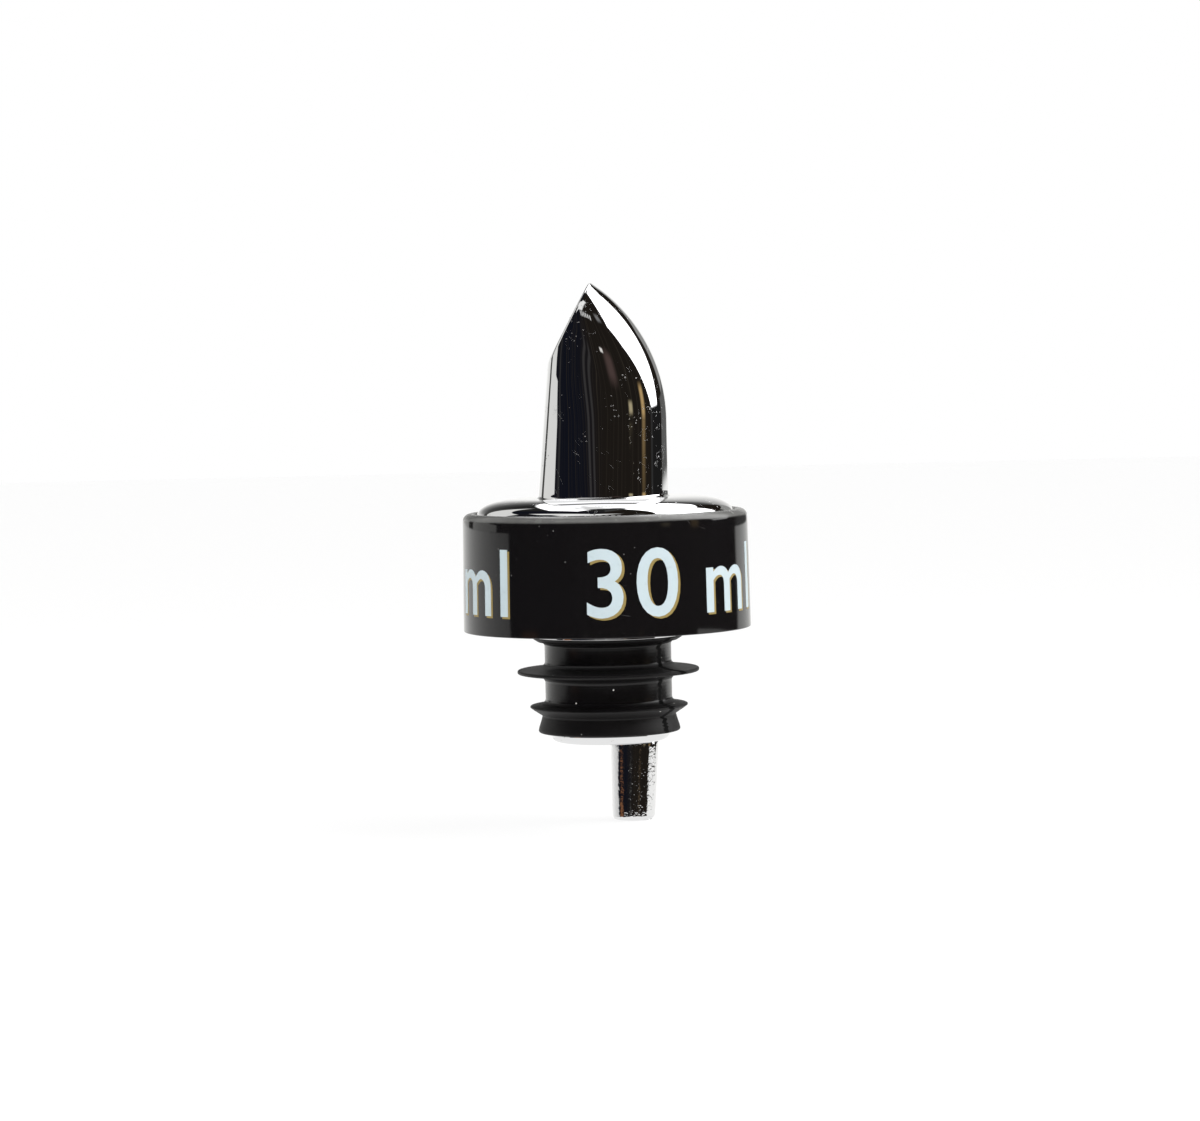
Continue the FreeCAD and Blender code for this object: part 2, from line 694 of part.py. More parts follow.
def make_valve_seat():
    """The insert under the spout, with the throat, the pocket of the seat ring and the air tube's hole."""
    seat = start_body("valve_seat")
    turn(
        seat,
        "insert",
        [
            ("0", "places.seat_under"),
            ("sizes.seat_flange_radius", "places.seat_under"),
            ("sizes.seat_flange_radius", "places.ceiling"),
            ("sizes.seat_spigot_radius", "places.ceiling"),
            ("sizes.seat_spigot_radius", "places.seat_top"),
            ("0", "places.seat_top"),
        ],
    )
    low = "places.seat_under - sizes.overrun"
    high = "places.seat_top + sizes.overrun"
    drill(seat, "throat", "sizes.throat_radius", low, high, "-sizes.cup_offset")
    drill(seat, "tube_hole", "places.tube_bore", low, high, "sizes.breather_offset")
    ring_roof = "places.seat_under + places.ring_pocket_deep"
    drill(seat, "ring_pocket", "places.ring_pocket_radius", low, ring_roof, "-sizes.cup_offset")
    grommet_roof = "places.seat_under + sizes.grommet_tall + sizes.press_gap"
    grommet_bore = "sizes.grommet_radius + sizes.press_gap"
    drill(seat, "grommet_pocket", grommet_bore, low, grommet_roof, "sizes.breather_offset")
    return seat


def make_seat_ring():
    """The rubber ring that the timer ball closes on."""
    ring = plain_solid(
        "Part::Torus",
        "seat_ring_torus",
        Radius1="sizes.ring_radius",
        Radius2="sizes.ring_section",
        Placement__Base__x="-sizes.cup_offset",
        Placement__Base__z="places.seat_under + sizes.ring_section + sizes.press_gap / 2",
    )
    ring.Label = "seat_ring"
    return ring


def make_air_seal():
    """The grommet round the air tube, in its pocket under the valve seat."""
    seal = start_body("air_seal")
    turn(
        seal,
        "grommet",
        [
            ("places.tube_bore", "places.seat_under"),
            ("sizes.grommet_radius", "places.seat_under"),
            ("sizes.grommet_radius", "places.seat_under + sizes.grommet_tall"),
            ("places.tube_bore", "places.seat_under + sizes.grommet_tall"),
        ],
    )
    seal.setExpression("Placement.Base.x", "sizes.breather_offset")
    return seal


def make_timer_cup():
    """The cup of the timer ball, held by ribs that stand on the base plate and reach the valve seat."""
    cup = start_body("timer_cup")
    rim = "places.cup_floor_top + sizes.cup_deep"
    turn(
        cup,
        "cup",
        [
            ("0", "places.cup_under"),
            ("places.cup_radius", "places.cup_under"),
            ("places.cup_radius", rim),
            ("places.cup_bore", rim),
            ("places.cup_bore", "places.cup_floor_top"),
            ("0", "places.cup_floor_top"),
        ],
    )
    rib = cup.newObject("PartDesign::AdditiveBox", "rib")
    rib.setExpression("Length", "sizes.rib_reach - places.cup_bore")
    rib.setExpression("Width", "sizes.rib_thick")
    rib.setExpression("Height", "places.seat_under - sizes.plate_thick")
    rib.setExpression("Placement.Base.x", "-sizes.rib_reach")
    rib.setExpression("Placement.Base.y", "-sizes.rib_thick / 2")
    rib.setExpression("Placement.Base.z", "sizes.plate_thick")
    DOC.recompute()
    ribs = cup.newObject("PartDesign::PolarPattern", "ribs")
    ribs.Originals = [rib]
    ribs.Axis = (next(axis for axis in cup.Origin.OriginFeatures if axis.Role == "Z_Axis"), [""])
    ribs.Angle = 360
    ribs.Occurrences = RIB_COUNT
    cup.Tip = ribs
    DOC.recompute()
    head_low = "places.cup_under - sizes.overrun"
    head_roof = "places.cup_under + sizes.plug_head_thick"
    hole = "sizes.plug_radius + sizes.press_gap"
    head_hole = "sizes.plug_head_radius + sizes.press_gap"
    drill(cup, "plug_hole", hole, head_low, "places.cup_floor_top + sizes.overrun")
    drill(cup, "plug_head_hole", head_hole, head_low, head_roof)
    cup.setExpression("Placement.Base.x", "-sizes.cup_offset")
    return cup


def make_metering_plug():
    """The plug in the floor of the cup, with the bleed hole that times the ball."""
    plug = start_body("metering_plug")
    turn(
        plug,
        "plug",
        [
            ("sizes.bleed_radius", "places.cup_under"),
            ("sizes.plug_head_radius", "places.cup_under"),
            ("sizes.plug_head_radius", "places.cup_under + sizes.plug_head_thick"),
            ("sizes.plug_radius", "places.cup_under + sizes.plug_head_thick"),
            ("sizes.plug_radius", "places.cup_floor_top"),
            ("sizes.bleed_radius", "places.cup_floor_top"),
        ],
    )
    plug.setExpression("Placement.Base.x", "-sizes.cup_offset")
    return plug


def check_document():
    """Stop at the first object that did not recompute."""
    for thing in DOC.Objects:
        if "Invalid" in thing.State or "Error" in thing.State:
            raise RuntimeError(f"{thing.Label} did not recompute: {thing.State}")


def write_part(piece):
    """Check one piece and write it to its own file."""
    shape = piece.Shape
    if shape.isNull() or not shape.isValid() or not shape.Solids:
        raise RuntimeError(f"{piece.Label} has no sound solid")
    shape.exportStep(os.path.join("parts", f"{piece.Label}.step"))
    print(f"{piece.Label}: {len(shape.Solids)} solid, {shape.Volume:.1f} mm3")


make_sheet("sizes", {alias: str(number) for alias, (number, _) in SIZES.items()})
places_sheet = make_sheet("places", {alias: f"={formula}" for alias, formula in PLACES.items()})
DOC.recompute()

pieces = [
    make_collar(),
    make_head(),
    make_stopper_core(),
    make_skirt_gasket(),
    make_cork(),
    make_end_cap(),
    make_breather(),
    make_check_seat(),
    make_ball("check_ball", "sizes.check_ball_radius", "sizes.breather_offset", "places.check_ball_rest"),
    make_air_tube(),
    make_valve_seat(),
    make_seat_ring(),
    make_air_seal(),
    make_timer_cup(),
    make_metering_plug(),
    make_ball("timer_ball", "sizes.timer_ball_radius", "-sizes.cup_offset", "places.timer_ball_rest"),
]
DOC.recompute()
check_document()
os.makedirs("parts", exist_ok=True)
for piece in pieces:
    write_part(piece)
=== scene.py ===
"""A measured liquor pourer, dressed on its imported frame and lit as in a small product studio.

Sizes are in millimetres until a mesh is finished, when it is scaled to metres. The origin is on the axis in
the plane of the collar's underside, +Z is up, the mouth faces -X and the breather tube is set off to +X.
"""

from __future__ import annotations

import logging
from collections.abc import Callable, Sequence
from dataclasses import dataclass, field
from enum import Enum
from math import atan, atan2, copysign, cos, degrees, dist, pi, radians, sin, sqrt, tau

import bmesh
import bpy
from mathutils import Matrix, Vector

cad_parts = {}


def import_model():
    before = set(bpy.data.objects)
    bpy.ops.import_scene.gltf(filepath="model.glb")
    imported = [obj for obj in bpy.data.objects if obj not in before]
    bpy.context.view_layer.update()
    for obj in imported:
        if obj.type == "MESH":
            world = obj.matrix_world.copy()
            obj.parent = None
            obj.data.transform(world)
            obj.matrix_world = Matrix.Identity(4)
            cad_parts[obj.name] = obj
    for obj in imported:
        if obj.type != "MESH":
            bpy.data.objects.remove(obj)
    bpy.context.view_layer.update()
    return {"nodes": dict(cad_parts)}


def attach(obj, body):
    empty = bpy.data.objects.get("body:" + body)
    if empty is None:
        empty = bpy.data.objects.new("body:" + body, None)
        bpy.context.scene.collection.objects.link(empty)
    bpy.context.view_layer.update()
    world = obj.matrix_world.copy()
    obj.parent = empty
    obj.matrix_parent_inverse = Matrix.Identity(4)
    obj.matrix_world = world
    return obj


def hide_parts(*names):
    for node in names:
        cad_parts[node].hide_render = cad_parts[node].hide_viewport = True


LOG = logging.getLogger("pourer")
MM = 0.001  # in metres
CLOSE = 0.01  # millimetres within which two places count as one
DEGREES = 180 / pi  # in a radian

Value = "float | Sequence[float] | Socket"
Pair = tuple[float, float]
Colour = tuple[float, float, float]
Curve = Callable[[float], Vector]
Place = Pair | Curve
Ring = list[bmesh.types.BMVert]
Edges = list[bmesh.types.BMEdge]
Piece = bpy.types.Object


class Body(Enum):
    """The bodies that dressed pieces ride on."""

    ROOT = "root"
    COLLAR = "collar"


class Slot(Enum):
    """The record's material slots, which are passed to dress but not given to the pieces."""

    CHROME = "chrome_shell"
    COLLAR = "collar_black"
    CORK = "cork_rubber"


class Socket:
    """One output of a node, so that shader maths reads as plain expressions."""

    def __init__(self, tree: Nodes, link: bpy.types.NodeSocket) -> None:
        """Wrap an output socket of a tree."""
        self.tree = tree
        self.link = link

    def math(self, operation: str, *others: Value) -> Socket:
        """Add a Math node that takes this socket first."""
        return self.tree.add("Math", {"operation": operation}, dict(enumerate((self, *others))))

    def __add__(self, other: Value) -> Socket:
        """Add."""
        return self.math("ADD", other)

    __radd__ = __add__

    def __sub__(self, other: Value) -> Socket:
        """Subtract."""
        return self.math("SUBTRACT", other)

    def __rsub__(self, other: float) -> Socket:
        """Subtract from a number."""
        return self.math("MULTIPLY_ADD", -1.0, other)

    def __mul__(self, other: Value) -> Socket:
        """Multiply."""
        return self.math("MULTIPLY", other)

    __rmul__ = __mul__

    def __truediv__(self, other: Value) -> Socket:
        """Divide."""
        return self.math("DIVIDE", other)

    def __neg__(self) -> Socket:
        """Change the sign."""
        return self.math("MULTIPLY", -1.0)

    def __abs__(self) -> Socket:
        """Take the size without its sign."""
        return self.math("ABSOLUTE")

    def below(self, edge: float, soft: float) -> Socket:
        """A mask that is 1 below an edge and fades to 0 over a soft width."""
        return 1.0 - self.above(edge, soft)

    def above(self, edge: float, soft: float) -> Socket:
        """A mask that is 1 above an edge and fades to 0 over a soft width.

        Args:
            edge: Where the mask is one half.
            soft: The width over which it fades.

        Returns:
            The mask.
        """
        inputs = {"Value": self, "From Min": edge - soft / 2, "From Max": edge + soft / 2}
        return self.tree.add("MapRange", {"interpolation_type": "SMOOTHSTEP"}, inputs)

    def between(self, low: float, high: float, soft: float) -> Socket:
        """A mask that is 1 between two edges."""
        return self.above(low, soft) * self.below(high, soft)


class Nodes:
    """A node tree that gets all its nodes through one method."""

    def __init__(self, tree: bpy.types.NodeTree) -> None:
        """Empty the tree."""
        self.tree = tree
        tree.nodes.clear()

    def add(
        self, kind: str, settings: dict | None = None, inputs: dict | None = None, output: int | str = 0
    ) -> Socket:
        """Add a node.

        Args:
            kind: The node's type, without "ShaderNode".
            settings: Its own settings, set first. "stops" are a ramp's places and colours.
            inputs: Values or sockets, by the name or number of the input.
            output: Which output to return.

        Returns:
            The chosen output, or the first.
        """
        node = self.tree.nodes.new(f"ShaderNode{kind}")
        for name, setting in (settings or {}).items():
            if name == "stops":
                self._set_ramp(node.color_ramp, setting)
            else:
                setattr(node, name, setting)
        for name, given in (inputs or {}).items():
            if isinstance(given, Socket):
                self.tree.links.new(given.link, node.inputs[name])
            else:
                node.inputs[name].default_value = given
        return Socket(self, node.outputs[output]) if node.outputs else Socket(self, None)

    @staticmethod
    def _set_ramp(ramp: bpy.types.ColorRamp, stops: Sequence[tuple[float, Sequence[float]]]) -> None:
        """Give a ramp its stops."""
        while len(ramp.elements) < len(stops):
            ramp.elements.new(1.0)
        for element, (place, colour) in zip(ramp.elements, stops):
            element.position = place
            element.color = (*colour, 1.0)

    def mix(self, factor: Value, first: Value, second: Value) -> Socket:
        """Mix two colours."""
        inputs = {0: factor, 6: _colour(first), 7: _colour(second)}
        return self.add("Mix", {"data_type": "RGBA"}, inputs, 2)

    def lay(self, scene: Value, *layers: tuple[Socket, Value]) -> Socket:
        """Lay colours over one another, each through its mask."""
        for mask, colour in layers:
            scene = self.mix(mask, scene, colour)
        return scene

    def combine(self, x: Value, y: Value, z: Value) -> Socket:
        """Make a vector of three values."""
        return self.add("CombineXYZ", None, {"X": x, "Y": y, "Z": z})

    def noise(self, vector: Socket, scale: float, detail: float = 2.0, rough: float = 0.5) -> Socket:
        """Soft noise from 0 to 1."""
        inputs = {"Vector": vector, "Scale": scale, "Detail": detail, "Roughness": rough}
        return self.add("TexNoise", None, inputs)

    def cells(self, vector: Socket, scale: float, output: str = "Distance") -> Socket:
        """Distance to the nearest of many scattered points, or the colour of its cell."""
        return self.add("TexVoronoi", None, {"Vector": vector, "Scale": scale}, output)

    def split(self, vector: Socket) -> tuple[Socket, ...]:
        """The X, Y and Z of a vector."""
        node = self.add("SeparateXYZ", None, {"Vector": vector}).link.node
        return tuple(Socket(self, output) for output in node.outputs)

    def stretch(self, vector: Socket, scale: Sequence[float], turn: Sequence[float] | None = None) -> Socket:
        """A vector for a pattern of lines: turned if a turn is given, then stretched."""
        if turn:
            vector = self.add("Mapping", None, {"Vector": vector, "Rotation": turn})
        return self.add("Mapping", None, {"Vector": vector, "Scale": scale})


def _colour(value: Value) -> Value:
    """Give a colour of three numbers its alpha."""
    return value if isinstance(value, Socket) else (*value, 1.0)


@dataclass(frozen=True)
class Finish:
    """A finish, which builds one material the first time that it is used."""

    name: str
    base: Colour
    rough: float

    def material(self) -> bpy.types.Material:
        """The finish's material."""
        found = bpy.data.materials.get(self.name)
        if found:
            return found
        made = bpy.data.materials.new(self.name)
        made.use_nodes = True
        made.diffuse_color = (*self.base, 1.0)
        nodes = Nodes(made.node_tree)
        spot = nodes.add("TexCoord", output="Object")
        shader = nodes.add("BsdfPrincipled", None, self.inputs(nodes, spot))
        nodes.add("OutputMaterial", None, {"Surface": shader})
        return made

    def put_on(self, piece: Piece) -> None:
        """Make this the only finish of a piece."""
        piece.data.materials.clear()
        piece.data.materials.append(self.material())

    def inputs(self, nodes: Nodes, spot: Socket) -> dict:
        """The inputs of the Principled shader at the shaded spot, in metres."""
        raise NotImplementedError

    def darker(self, share: float) -> tuple[float, ...]:
        """A share of the base colour."""
        return tuple(channel * share for channel in self.base)

    def bump(self, nodes: Nodes, height: Socket, distance: float, strength: float = 1.0) -> Socket:
        """A normal that is tilted by a height in shares of a distance in metres."""
        inputs = {"Height": height, "Distance": distance, "Strength": strength}
        return nodes.add("Bump", None, inputs)


@dataclass(frozen=True)
class Chrome(Finish):
    """Polished plating with fine scratches, pits and a slight waviness, crinkled where it flakes."""

    marks: float = 1.0
    flakes: float = 0.0
    pit_cells: float = 2600.0

    def inputs(self, nodes: Nodes, spot: Socket) -> dict:
        """Scratches and pits over a bright metal."""
        stretched = nodes.stretch(spot, (1300, 1300, 170), (0.35, 0.6, 0.2))
        line = abs(nodes.noise(stretched, 1.0, 1.0) - 0.5).below(0.005, 0.006)
        patch = nodes.noise(spot, 620.0, 2.0).above(0.6, 0.08)
        scratches = line * patch * self.marks
        kept = nodes.cells(spot, self.pit_cells, "Color").above(0.62, 0.04)
        chosen = nodes.noise(spot, 260.0, 3.0).above(0.6, 0.1)
        pits = nodes.cells(spot, self.pit_cells).below(0.26, 0.16) * kept * chosen * self.marks
        waves = nodes.noise(spot, 150.0, 1.0)
        mist = nodes.noise(spot, 90.0, 3.0)
        height = waves * 0.8 - pits * 0.5 - scratches * 0.1
        if self.flakes:
            patchy = (nodes.noise(spot, 420.0, 1.0).above(0.45, 0.2) * 0.5 + 0.5) * self.flakes
            height = height + nodes.noise(spot, 2300.0, 2.0, 0.6) * patchy
        return {
            "Metallic": 1.0,
            "Base Color": nodes.mix(pits * 0.4, self.base, (0.5, 0.48, 0.45)),
            "Roughness": mist * 0.03 + self.rough + scratches * 0.5 + pits * 0.7,
            "Normal": self.bump(nodes, height, 0.0000035),
        }


@dataclass(frozen=True)
class GlossMoulding(Finish):
    """Gloss black moulding with hairline scratches, specks of dust and a rim that is worn dull and painted
    lighter as a painted highlight.
    """

    worn_and_highlit_above: float = 0.01368

    def inputs(self, nodes: Nodes, spot: Socket) -> dict:
        """Scuffs and specks over a gloss coat, with a worn rim that carries a painted highlight."""
        stretched = nodes.stretch(spot, (500, 500, 40), (0.2, 1.25, 0.9))
        line = abs(nodes.noise(stretched, 1.0, 1.0) - 0.5).below(0.004, 0.005)
        scuffs = line * nodes.noise(spot, 200.0, 2.0).above(0.66, 0.04)
        near = nodes.noise(spot, 170.0).above(0.56, 0.08)
        dust = nodes.cells(spot, 900.0).below(0.075, 0.05) * near
        marks = (scuffs * 0.5 + dust * 0.8).math("MINIMUM", 1.0)
        # The top band of the rim is rougher from wear and lighter in colour: the lighter colour is a painted
        # highlight.
        rim = nodes.split(spot)[2].above(self.worn_and_highlit_above, 0.0003)
        rubbed_and_highlit = rim * (nodes.noise(spot, 700.0, 3.0) * 0.5 + 0.6)
        # The second layer's pale grey on the rim is a painted highlight, over real wear.
        layers = ((marks, (0.16, 0.16, 0.155)), (rubbed_and_highlit * 0.8, (0.2, 0.2, 0.193)))
        waves = nodes.noise(spot, 130.0, 2.0)
        rough = nodes.noise(spot, 300.0, 3.0) * 0.04 + self.rough + marks * 0.3 + rubbed_and_highlit * 0.22
        return {
            "Base Color": nodes.lay(self.base, *layers),
            "Roughness": rough,
            "IOR": 1.5,
            "Normal": self.bump(nodes, waves - marks * 0.2, 0.000004),
        }


@dataclass(frozen=True)
class Ink(Finish):
    """Printed ink, slightly mottled and worn thin in places."""

    def inputs(self, nodes: Nodes, spot: Socket) -> dict:
        """Mottled ink."""
        grain = nodes.noise(spot, 1400.0, 3.0, 0.6)
        cloud = nodes.noise(spot, 320.0, 2.0)
        colour = nodes.mix(grain.between(0.3, 0.75, 0.3) * 0.5 + cloud * 0.4, self.darker(0.78), self.base)
        return {
            "Base Color": colour,
            "Roughness": grain * 0.15 + self.rough,
            "Normal": self.bump(nodes, grain, 0.000006),
        }


@dataclass(frozen=True)
class Rubber(Finish):
    """Moulded rubber with faint turning rings, a grain, bloom and specks of lint."""

    worn: Colour
    ring_pitch: float = 0.00042
    seam_at: float = 0.0
    matt_beyond: float = 0.00784

    def inputs(self, nodes: Nodes, spot: Socket) -> dict:
        """Rings, grain, lint and a ragged parting line."""
        x, y, z = nodes.split(spot)
        rings = nodes.noise(nodes.stretch(spot, (60, 60, 4200)), 1.0, 2.0)
        wave = (z * (tau / self.ring_pitch) + rings * 2.0).math("SINE") * 0.5 + 0.5
        grain = nodes.noise(spot, 3200.0, 3.0, 0.65)
        bloom = nodes.noise(spot, 230.0, 4.0, 0.6)
        lint = nodes.cells(spot, 560.0).below(0.055, 0.025) * nodes.noise(spot, 260.0).above(0.52, 0.06)
        jag = nodes.noise(nodes.combine(0.0, 0.0, z), 2600.0, 3.0, 0.7) * 18.0 - 9.0
        seam = abs(x.math("ARCTAN2", -y) * DEGREES - self.seam_at + jag).below(3.0, 1.0)
        turned_out = (x * x + y * y).math("SQRT").above(self.matt_beyond, 0.0001)
        wear = bloom.above(0.5, 0.4) * 0.4 + wave * 0.1
        layers = ((wear, self.worn), (seam, (0.0004, 0.0004, 0.0004)), (lint, (0.85, 0.84, 0.8)))
        height = rings * 0.5 + wave * 0.2 + grain * 0.22 - seam * 0.8
        return {
            "Base Color": nodes.lay(self.base, *layers),
            "Roughness": bloom * 0.1 + grain * 0.05 + self.rough + seam * 0.6 + turned_out * 0.3,
            "IOR": 1.42,
            "Normal": self.bump(nodes, height, 0.00003, 0.5),
        }


@dataclass(frozen=True)
class Plastic(Finish):
    """A natural or coloured plain moulding, with flow marks."""

    def inputs(self, nodes: Nodes, spot: Socket) -> dict:
        """Flow marks and grain."""
        flow = nodes.noise(spot, 260.0, 3.0)
        grain = nodes.noise(spot, 2200.0, 2.0)
        return {
            "Base Color": nodes.mix(flow, self.darker(0.82), self.base),
            "Roughness": grain * 0.12 + self.rough,
            "Normal": self.bump(nodes, flow * 0.6 + grain * 0.4, 0.00001),
        }


@dataclass(frozen=True)
class Steel(Finish):
    """Ground or drawn steel, with fine lines along its length."""

    def inputs(self, nodes: Nodes, spot: Socket) -> dict:
        """Fine lines along Z."""
        lines = nodes.noise(nodes.stretch(spot, (4000, 4000, 120)), 1.0, 3.0)
        return {
            "Metallic": 1.0,
            "Base Color": nodes.mix(lines, self.darker(0.85), self.base),
            "Roughness": lines * 0.12 + self.rough,
            "Normal": self.bump(nodes, lines, 0.000005),
        }


CHROME = Chrome("chrome", (0.82, 0.82, 0.83), 0.012)
TUBE_CHROME = Chrome("flaked_chrome", (0.82, 0.82, 0.83), 0.03, 0.0, 11.0)
BLACK = GlossMoulding("gloss_black", (0.0062, 0.0056, 0.006), 0.05)
SILVER_INK = Ink("silver_ink", (0.6, 0.71, 0.75), 0.3)
GOLD_INK = Ink("gold_ink", (0.33, 0.24, 0.07), 0.34)
CORK_RUBBER = Rubber("finned_rubber", (0.0042, 0.0036, 0.0039), 0.17, (0.009, 0.008, 0.0085), seam_at=53.0)
SEAL_RUBBER = Rubber("soft_rubber", (0.02, 0.02, 0.02), 0.5, (0.05, 0.05, 0.05))
NATURAL = Plastic("natural_moulding", (0.78, 0.78, 0.74), 0.4)
RED = Plastic("red_moulding", (0.55, 0.05, 0.04), 0.38)
BALL_STEEL = Steel("ground_steel", (0.66, 0.66, 0.67), 0.08)
TUBE_STEEL = Steel("drawn_steel", (0.62, 0.62, 0.63), 0.2)


def polar(radius: float, height: float) -> Curve:
    """A ring of a radius at a height, in millimetres, by the angle round the axis."""
    return lambda angle: Vector((radius * cos(angle), radius * sin(angle), height))


def spread(first: float, last: float, parts: int) -> list[float]:
    """Evenly spaced numbers from one to another, both included."""
    return [first + (last - first) * part / parts for part in range(parts + 1)]


def turns(first: float, last: float, parts: int) -> list[float]:
    """Evenly spaced angles in radians from one to another, both given in degrees and both included."""
    return [radians(angle) for angle in spread(first, last, parts)]


def roll(radius: float, height: float, size: float, start: float, end: float, steps: int) -> list[Pair]:
    """Rings along a round of a profile.

    Args:
        radius: Distance of the round's centre from the axis.
        height: Height of the round's centre.
        size: Radius of the round.
        start: First angle in degrees, from outward, upwards.
        end: Last angle in degrees.
        steps: How many parts the round has.

    Returns:
        The rings, from the first angle to the last.
    """
    return [(radius + size * cos(a), height + size * sin(a)) for a in turns(start, end, steps)]


def verts_of(geometry: Sequence[bmesh.types.BMVert | bmesh.types.BMEdge | bmesh.types.BMFace]) -> list:
    """The vertices among what an operator made."""
    return [item for item in geometry if isinstance(item, bmesh.types.BMVert)]


@dataclass
class Skin:
    """A closed skin that grows ring by ring from one circle."""

    segments: int
    bm: bmesh.types.BMesh = field(default_factory=bmesh.new)
    angles: dict = field(default_factory=dict)

    def circle(self, segments: int, radius: float, across: float = 0.0, height: float = 0.0) -> Ring:
        """Add a loose circle, level, and set off across the axis."""
        move = Matrix.Translation((across, 0, height))
        return bmesh.ops.create_circle(self.bm, segments=segments, radius=radius, matrix=move)["verts"]

    def start(self, place: Place) -> Ring:
        """Start with one ring of vertices."""
        made = self.circle(self.segments, 1.0)
        for vert in made:
            self.angles[vert] = atan2(vert.co.y, vert.co.x)
        return self.lay_out(made, place)

    def lay_out(self, ring: Ring, place: Place) -> Ring:
        """Move a ring to its place: a radius and a height, or a point for each angle."""
        point = place if callable(place) else polar(*place)
        for vert in ring:
            vert.co = point(self.angles[vert])
        return ring

    def grow(self, ring: Ring, places: Sequence[Place]) -> Ring:
        """Grow the skin from a ring through further rings.

        Args:
            ring: The ring to grow from.
            places: Where each next ring lies.

        Returns:
            The last ring.
        """
        for place in places:
            fresh = verts_of(bmesh.ops.extrude_edge_only(self.bm, edges=self.edges(ring))["geom"])
            old = set(ring)
            for vert in fresh:
                twin = next(e.other_vert(vert) for e in vert.link_edges if e.other_vert(vert) in old)
                self.angles[vert] = self.angles[twin]
            ring = self.lay_out(fresh, place)
        return ring

    def edges(self, ring: Ring) -> Edges:
        """The edges that run along a ring."""
        members = set(ring)
        return list({e for vert in ring for e in vert.link_edges if e.other_vert(vert) in members})

    def open_edges(self) -> Edges:
        """The edges round the skin's holes."""
        return [edge for edge in self.bm.edges if edge.is_boundary]

    def join(self, first: Ring, last: Ring) -> None:
        """Join two open rings with faces, each vertex with the one at its own angle."""
        at = {self.angles[vert]: vert for vert in last}
        fresh = self.grow(first, [lambda angle: at[angle].co])
        bmesh.ops.weld_verts(self.bm, targetmap={vert: at[self.angles[vert]] for vert in fresh})

    def bevel(self, edges: Edges, size: float, steps: int) -> None:
        """Round edges."""
        bmesh.ops.bevel(self.bm, geom=edges, affect="EDGES", offset=size, segments=steps, profile=0.5)


def placed(name: str, data: bpy.types.ID) -> Piece:
    """A new object in the scene, at the origin."""
    made = bpy.data.objects.new(name, data)
    bpy.context.scene.collection.objects.link(made)
    return made


def finished(bm: bmesh.types.BMesh, name: str, sharp: float = 35.0, outwards: bool = True) -> Piece:
    """Turn a mesh in millimetres into an object in metres.

    Args:
        bm: The mesh, which is freed.
        name: The object's name.
        sharp: The angle in degrees above which an edge shades hard.
        outwards: Whether to turn all faces outwards first.

    Returns:
        The object, at the origin.
    """
    if outwards:
        bmesh.ops.recalc_face_normals(bm, faces=bm.faces[:])
    for face in bm.faces:
        face.smooth = True
    for edge in bm.edges:
        if len(edge.link_faces) == 2 and edge.calc_face_angle(0.0) > radians(sharp):
            edge.smooth = False
    bmesh.ops.scale(bm, vec=(MM, MM, MM), verts=bm.verts[:])
    mesh = bpy.data.meshes.new(name)
    bm.to_mesh(mesh)
    bm.free()
    return placed(name, mesh)


def dress(piece: Piece, finish: Finish, body: Body, slot: Slot, *nodes: str) -> Piece:
    """Give a finished piece its material and its body.

    Args:
        piece: The piece.
        finish: Its finish.
        body: The body that it rides on.
        slot: The record's slot that the finish belongs to; not used.
        *nodes: The CAD nodes that it stands for.

    Returns:
        The piece.
    """
    finish.put_on(piece)
    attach(piece, body.value)
    if nodes:
        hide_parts(*nodes)
    LOG.info("%s: %d faces, on %s", piece.name, len(piece.data.polygons), body.value)
    return piece


def turned(name: str, rings: Sequence[Place], segments: int, sharp: float = 35.0) -> Piece:
    """A closed ring whose profile is given by rings, the last joined to the first."""
    skin = Skin(segments)
    first = skin.start(rings[0])
    last = skin.grow(first, rings[1:])
    skin.join(first, last)
    return finished(skin.bm, name, sharp)


